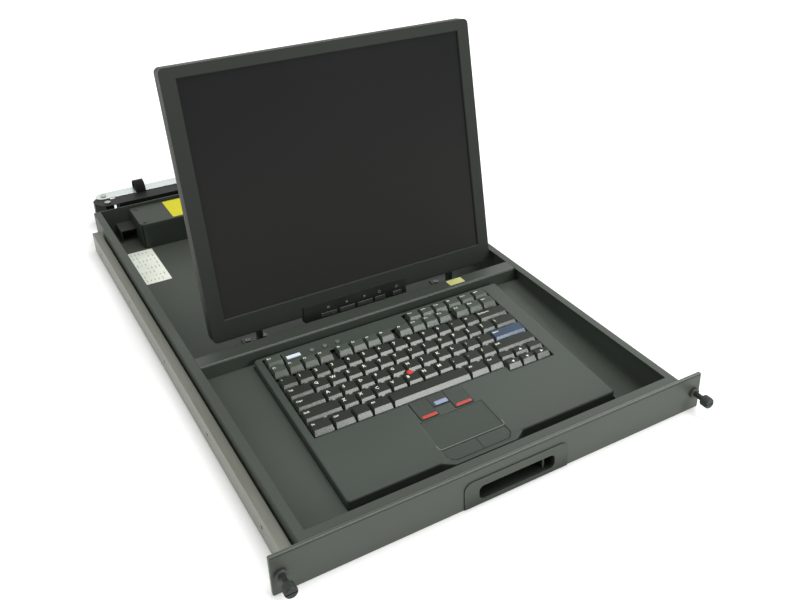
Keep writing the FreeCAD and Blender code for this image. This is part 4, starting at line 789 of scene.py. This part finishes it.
# Each row's line on the board and its keys, as column and legend
LEGENDS = {
    "number_row_keys": (5, letters(0, "`1234567890-=") + [(13, "Backspace")]),
    "upper_letter_keys": (4, [(0, "Tab")] + letters(1.5, "QWERTYUIOP[]") + [(13.5, "\\")]),
    "home_row_keys": (3, [(0, "Caps")] + letters(1.75, "ASDFGHJKL;'")),
    "enter_key": (3, [(12.75, "Enter")]),
    "lower_letter_keys": (2, [(0, "Shift")] + letters(2.25, "ZXCVBNM,./") + [(12.25, "Shift")]),
    "bottom_row_keys": (1, [(0, "Fn"), (1.25, "Ctrl"), (3.5, "Alt"), (9.75, "Alt"), (11, "Ctrl")]),
}
FUNCTION_ROW = [(i * 0.93 + (i // 4) * 0.28, 6, "F%d" % (i + 1)) for i in range(12)]
CORNER_KEYS = ([(12 + i, 6, word) for i, word in enumerate(("Del", "End", "PgDn"))]
               + [(12 + i, 7, word) for i, word in enumerate(("Ins", "Home", "PgUp"))]
               + [(9.2 + i * 0.93, 7, word) for i, word in enumerate(("PrtSc", "ScrLk", "Pause"))]
               + [(0, 7, "Esc")])


def on_board(x, t, rise=0.0):
    """A spot on the keyboard's slope: x across, t up the slope, rise above it."""
    return BOARD @ Matrix.Translation((x, t, rise))


class DRAWER_OT_key_legends(bpy.types.Operator):
    """Print plain legends on the keys"""
    bl_idname = "drawer.key_legends"
    bl_label = "Key legends"

    def execute(self, context):
        tall = context.scene.drawer_sizes.legend_height
        rise = KEY_TOP + PRINT_RISE
        for name, (line, keys) in LEGENDS.items():
            bm = bmesh.new()
            for start, words in keys:
                size = tall if len(words) == 1 else tall * WORD
                x = FIELD_LEFT + PITCH * start + LEGEND_LEFT
                t = ROW[line] + ROW_PITCH - LEGEND_BACK - size
                text_into(bm, words, on_board(x, t, rise), size)
            if name == "bottom_row_keys":
                for column, depth, turn in ((12.5, 0, 90), (13.5, 0, 180), (14.5, 0, -90),
                                            (13.5, ARROW_DEPTH, 0)):
                    spot = on_board(FIELD_LEFT + PITCH * column, ARROW_FRONT + depth + 0.0085, rise)
                    arrow_into(bm, spot, 0.0021, turn)
            row = name.replace("_keys", "").replace("_key", "")
            self.flat(row + "_legends", bm, name + "_body")
        bm = bmesh.new()
        for start, line, words in FUNCTION_ROW + CORNER_KEYS:
            x = FIELD_LEFT + PITCH * start + FN_LEGEND_LEFT
            t = ROW[line] + FN_PITCH - FN_LEGEND_BACK
            size = tall * (WORD if len(words) < 4 else LONG_WORD)
            text_into(bm, words, on_board(x, t, rise), size)
        self.flat("function_legends", bm, "function_keys_body")
        return {"FINISHED"}

    @staticmethod
    def flat(name, bm, body):
        piece = piece_of(name, bm, "legend_ink")
        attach(piece, body)


# Name, left and right in X, start and height up the slope, finish
STICK_EDGES = (
    ("left", -0.0320, -0.0145, 0.0614, 0.0040, "red_edge"),
    ("middle", -0.0100, 0.0050, 0.0734, 0.0058, "blue_edge"),
    ("right", 0.0085, 0.0270, 0.0614, 0.0040, "red_edge"),
)


class DRAWER_OT_stick_edges(bpy.types.Operator):
    """Add the coloured front edges of the stick buttons and the keys' finger bars"""
    bl_idname = "drawer.stick_edges"
    bl_label = "Stick button edges"

    def execute(self, context):
        top = 0.0006
        for name, x0, x1, t0, tall, finish in STICK_EDGES:
            bm = bmesh.new()
            rounded_plate(bm, on_board(0, 0, top), x0, x1, t0, t0 + tall, 0.0009, 0.0011,
                          bevel=0.0003)
            mesh_piece("stick_edge_" + name, bm, finish, "stick_button_" + name + "_body")
        for name, start in (("left", 4.75), ("right", 7.75)):
            bm = bmesh.new()
            x = FIELD_LEFT + PITCH * (start + 0.5)
            t = ROW[3] + 0.0060
            rounded_plate(bm, on_board(0, 0, KEY_TOP - 0.0001), x - 0.0018, x + 0.0018,
                          t, t + 0.0006, 0.0005, 0.00025, steps=3, bevel=0.00015)
            mesh_piece("finger_bar_" + name, bm, "key_caps", "home_row_keys_body")
        return {"FINISHED"}


class DRAWER_OT_raised_lines(bpy.types.Operator):
    """Raise the rim round the touchpad's buttons, pale as a painted highlight, and fill the panel's
    groove with near-black painted shade
    """
    bl_idname = "drawer.raised_lines"
    bl_label = "Rim and groove"

    def execute(self, context):
        left, right, front, back, bend = -0.0396, 0.0376, 0.0152, 0.0225, 0.0038
        path = [(left, back)]
        for middle, start in ((left + bend, 180), (right - bend, 270)):
            for a in map(math.radians, range(start, start + 91, 15)):
                path.append((middle + bend * math.cos(a), front + bend + bend * math.sin(a)))
        path.append((right, back))
        bm = bmesh.new()
        # The rim is coloured pale as a painted highlight
        ridge_along(bm, on_board(0, 0, 0), path, 0.0013, 0.00045)
        mesh_piece("touchpad_rim", bm, "rim_painted_highlight", "drawer")
        # A near-black strip in the panel's groove is painted shade
        low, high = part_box("front_panel")
        bm = bmesh.new()
        top = high.z - 0.0017
        block(bm, (low.x + 0.0008, low.y - PRINT, top - 0.0011),
              (high.x - 0.0008, low.y + 0.0006, top + 0.0001))
        mesh_piece("groove_painted_shade", bm, "recess_painted_shade", "drawer")
        return {"FINISHED"}


class DRAWER_OT_labels(bpy.types.Operator):
    """Stick the blank labels on the tray, the box and the bar"""
    bl_idname = "drawer.labels"
    bl_label = "Labels"

    def execute(self, context):
        floor = Matrix.Translation((0, 0, TRAY_FLOOR))
        bm = bmesh.new()
        rounded_plate(bm, floor, -0.1985, -0.1565, 0.570, 0.670, SHEET, 0.0015, bevel=SHEET_EDGE)
        mesh_piece("floor_label", bm, "white_label", "drawer")
        spots = [(-0.1925 + 0.0052 * i, 0.5790 + 0.0118 * j, TRAY_FLOOR + SHEET)
                 for i in range(7) for j in range(8) if (i * 3 + j * 5) % 7 not in (0, 4)]
        run_tree("floor_label_rules", spots, rule_tree(finish_of("label_rule")), "drawer",
                 Length=0.0085, Width=0.0009, Seed=5)
        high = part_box("electronics_lid")[1]
        bm = bmesh.new()
        rounded_plate(bm, Matrix.Translation((0, 0, high.z)), -0.1180, -0.0620,
                      high.y - 0.060, high.y - 0.0030, SHEET, 0.0015, bevel=SHEET_EDGE)
        mesh_piece("lid_label", bm, "yellow_label", "drawer")
        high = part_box("crossbar")[1]
        bm = bmesh.new()
        rounded_plate(bm, Matrix.Translation((0, 0, high.z)), 0.1120, 0.1330,
                      high.y - 0.0150, high.y - 0.0030, SHEET, 0.0008, bevel=SHEET_EDGE)
        mesh_piece("bar_sticker", bm, "pale_sticker", "drawer")
        return {"FINISHED"}


class DRAWER_OT_strip_marks(bpy.types.Operator):
    """Print small marks above the screen's buttons"""
    bl_idname = "drawer.strip_marks"
    bl_label = "Button marks"

    def execute(self, context):
        face = SCREEN @ Matrix.Translation((0, -0.00168, 0)) @ TOP_TO_FRONT
        bm = bmesh.new()
        for name, shape in (("menu_button", "bars"), ("left_button", 90), ("right_button", -90),
                            ("auto_button", "ring"), ("power_button", "power")):
            first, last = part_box(name)
            x = (first.x + last.x) / 2 - 0.0155
            place = face @ Matrix.Translation((x, 0.0040, PRINT))
            if shape == "bars":
                for y in (0, 0.0011, 0.0022):
                    rounded_plate(bm, place, -0.0016, 0.0016, -0.0014 + y, -0.0010 + y,
                                  PRINT, 0.0001)
            elif shape in ("ring", "power"):
                self.ring(bm, place, 0.0015, 0.0004, 40 if shape == "power" else 0)
                if shape == "power":
                    rounded_plate(bm, place, -0.0002, 0.0002, 0.0002, 0.0019, PRINT, 0.0001)
            else:
                arrow_into(bm, place, 0.0016, shape)
        piece = piece_of("strip_marks", bm, "soft_mark")
        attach(piece, "screen")
        return {"FINISHED"}

    @staticmethod
    def ring(bm, place, radius, width, gap):
        """A flat ring; a gap, in degrees to each side of its top, leaves it open."""
        steps = 20
        start = math.radians(90 + gap)
        sweep = math.radians(360 - gap * 2)
        pairs = []
        for i in range(steps + (1 if gap else 0)):
            a = start + sweep * i / steps
            pairs.append([bm.verts.new(place @ Vector((r * math.cos(a), r * math.sin(a), 0)))
                          for r in (radius - width / 2, radius + width / 2)])
        last = len(pairs) - (1 if gap else 0)
        for i in range(last):
            a, b = pairs[i], pairs[(i + 1) % len(pairs)]
            bm.faces.new((a[0], a[1], b[1], b[0]))


class DRAWER_OT_screws(bpy.types.Operator):
    """Set the screws of the screen's back and the box's lid, and the floor screws' recesses"""
    bl_idname = "drawer.screws"
    bl_label = "Screws"

    def execute(self, context):
        radius = context.scene.drawer_sizes.screw_radius
        heads = screw_tree(finish_of("screw_black"))
        # The cross recesses are near-black bars of painted shade
        crosses = cross_tree(finish_of("recess_painted_shade"))
        back = SCREEN @ Matrix.Translation((0, 0.018, 0)) @ TOP_TO_BACK
        spots = [(x, -z, 0) for x in (-0.172, 0, 0.172) for z in (0.020, 0.294)]
        run_tree("cover_screws", spots, heads, "screen", back, Radius=radius, Height=0.0012)
        raised = [(x, y, 0.00092) for x, y, z in spots]
        run_tree("cover_screw_slots", raised, crosses, "screen", back,
                 Length=radius * 1.1, Depth=0.0001)
        lid_low, lid_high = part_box("electronics_lid")
        lids = [(x, y, lid_high.z) for x in (lid_low.x + 0.008, lid_high.x - 0.008)
                for y in (lid_low.y + 0.008, lid_high.y - 0.008)]
        run_tree("lid_screws", lids, heads, "drawer", Radius=0.0026, Height=0.0010)
        raised = [(x, y, z + 0.00078) for x, y, z in lids]
        run_tree("lid_screw_slots", raised, crosses, "drawer", Length=0.0030, Depth=0.0001)
        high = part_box("floor_screws")[1]
        spots = [(x, y, high.z) for x, y in FLOOR_SCREWS]
        run_tree("floor_screw_slots", spots, crosses, "drawer", Length=0.0030, Depth=0.0002)
        return {"FINISHED"}


class DRAWER_OT_thumbscrew_knurls(bpy.types.Operator):
    """Raise the grip ridges round the thumbscrews' heads"""
    bl_idname = "drawer.thumbscrew_knurls"
    bl_label = "Thumbscrew knurls"

    def execute(self, context):
        sizes = context.scene.drawer_sizes
        tree = knurl_tree(finish_of("screw_black"))
        for side in ("left", "right"):
            low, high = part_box("thumbscrew_" + side)
            middle = (low + high) / 2
            place = Matrix.Translation((middle.x, low.y + 0.0052, middle.z)) @ TOP_TO_FRONT
            run_tree("knurl_" + side, [(0, 0, 0)], tree, "thumbscrew_" + side + "_body", place,
                     Ridges=sizes.knurl_ridges, Radius=(high.x - low.x) / 2 - 0.0001,
                     Length=0.0072, Width=0.0004)
        return {"FINISHED"}


class DRAWER_OT_pivot_caps(bpy.types.Operator):
    """Cap the cable arm's pivots with bright rivet heads"""
    bl_idname = "drawer.pivot_caps"
    bl_label = "Pivot caps"

    def execute(self, context):
        heads = screw_tree(finish_of("pin_steel"))
        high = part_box("cable_arm_elbow")[1]
        pins = [(x, y, high.z) for x, y in ELBOW_PINS]
        run_tree("elbow_caps", pins, heads, "arm_elbow", Radius=0.0044, Height=0.0012)
        return {"FINISHED"}


class DRAWER_OT_stage(bpy.types.Operator):
    """Build the pale floor, the lamps and the camera"""
    bl_idname = "drawer.stage"
    bl_label = "Stage"

    def execute(self, context):
        scene = context.scene
        scene.view_settings.view_transform = "Standard"
        level = scene.drawer_sizes.lamp_level
        bm = bmesh.new()
        bm.faces.new([bm.verts.new((x * FLOOR_HALF, y * FLOOR_HALF, -0.0005))
                      for x, y in ((-1, -1), (1, -1), (1, 1), (-1, 1))])
        floor = piece_of("studio_floor", bm, "studio_floor")
        self.world(scene)
        for name, place, target, size, watts in LAMPS:
            self.lamp(name, place, target, size, watts * level)
        camera = bpy.data.cameras.new("camera")
        camera.lens = CAMERA_LENS
        camera.sensor_width = 36.0
        camera.shift_x, camera.shift_y = CAMERA_SHIFT
        holder = link(bpy.data.objects.new("camera", camera))
        holder.location = CAMERA_PLACE
        holder.rotation_euler = Euler([math.radians(a) for a in CAMERA_TURN], "XYZ")
        scene.camera = holder
        return {"FINISHED"}

    @staticmethod
    def lamp(name, place, target, size, power):
        data = bpy.data.lights.new(name, "AREA")
        data.shape = "DISK"
        data.size = size
        data.energy = power
        made = link(bpy.data.objects.new(name, data))
        made.location = place
        made.rotation_euler = (Vector(target) - Vector(place)).to_track_quat("-Z", "Y").to_euler()

    @staticmethod
    def world(scene):
        world = bpy.data.worlds.new("studio")
        world.use_nodes = True
        tree = world.node_tree
        wire = tree.links.new
        tree.nodes.clear()
        out = tree.nodes.new("ShaderNodeOutputWorld")
        dim = node_of(tree, "ShaderNodeBackground", in_Strength=WORLD_LIGHT, in_Color=(1, 1, 1, 1))
        bright = node_of(tree, "ShaderNodeBackground", in_Strength=1.0, in_Color=(1, 1, 1, 1))
        choose = tree.nodes.new("ShaderNodeMixShader")
        wire(seen_background(tree), choose.inputs[0])
        wire(dim.outputs["Background"], choose.inputs[1])
        wire(bright.outputs["Background"], choose.inputs[2])
        wire(choose.outputs["Shader"], out.inputs["Surface"])
        scene.world = world


OPERATORS = (DRAWER_OT_finishes, DRAWER_OT_key_legends, DRAWER_OT_stick_edges,
             DRAWER_OT_raised_lines, DRAWER_OT_labels, DRAWER_OT_strip_marks, DRAWER_OT_screws,
             DRAWER_OT_thumbscrew_knurls, DRAWER_OT_pivot_caps, DRAWER_OT_stage)


class DRAWER_PT_panel(bpy.types.Panel):
    """Lists the drawer's pieces, sizes and colours"""
    bl_idname = "DRAWER_PT_panel"
    bl_label = "Console Drawer"
    bl_space_type = "VIEW_3D"
    bl_region_type = "UI"
    bl_category = "Console Drawer"

    def draw(self, context):
        layout = self.layout
        for group in (context.scene.drawer_sizes, context.scene.drawer_finishes):
            box = layout.box()
            for name in group.__annotations__:
                box.prop(group, name)
        for operator in OPERATORS:
            layout.operator(operator.bl_idname)


CLASSES = (DrawerFinishes, DrawerSizes) + OPERATORS + (DRAWER_PT_panel,)


def register():
    for cls in CLASSES:
        bpy.utils.register_class(cls)
    bpy.types.Scene.drawer_finishes = bpy.props.PointerProperty(type=DrawerFinishes)
    bpy.types.Scene.drawer_sizes = bpy.props.PointerProperty(type=DrawerSizes)


def unregister():
    del bpy.types.Scene.drawer_sizes
    del bpy.types.Scene.drawer_finishes
    for cls in reversed(CLASSES):
        bpy.utils.unregister_class(cls)


def main():
    register()
    bpy.ops.drawer.finishes()
    bpy.ops.drawer.key_legends()
    bpy.ops.drawer.stick_edges()
    bpy.ops.drawer.raised_lines()
    bpy.ops.drawer.labels()
    bpy.ops.drawer.strip_marks()
    bpy.ops.drawer.screws()
    bpy.ops.drawer.thumbscrew_knurls()
    bpy.ops.drawer.pivot_caps()
    bpy.ops.drawer.stage()


if __name__ == "__main__":
    main()
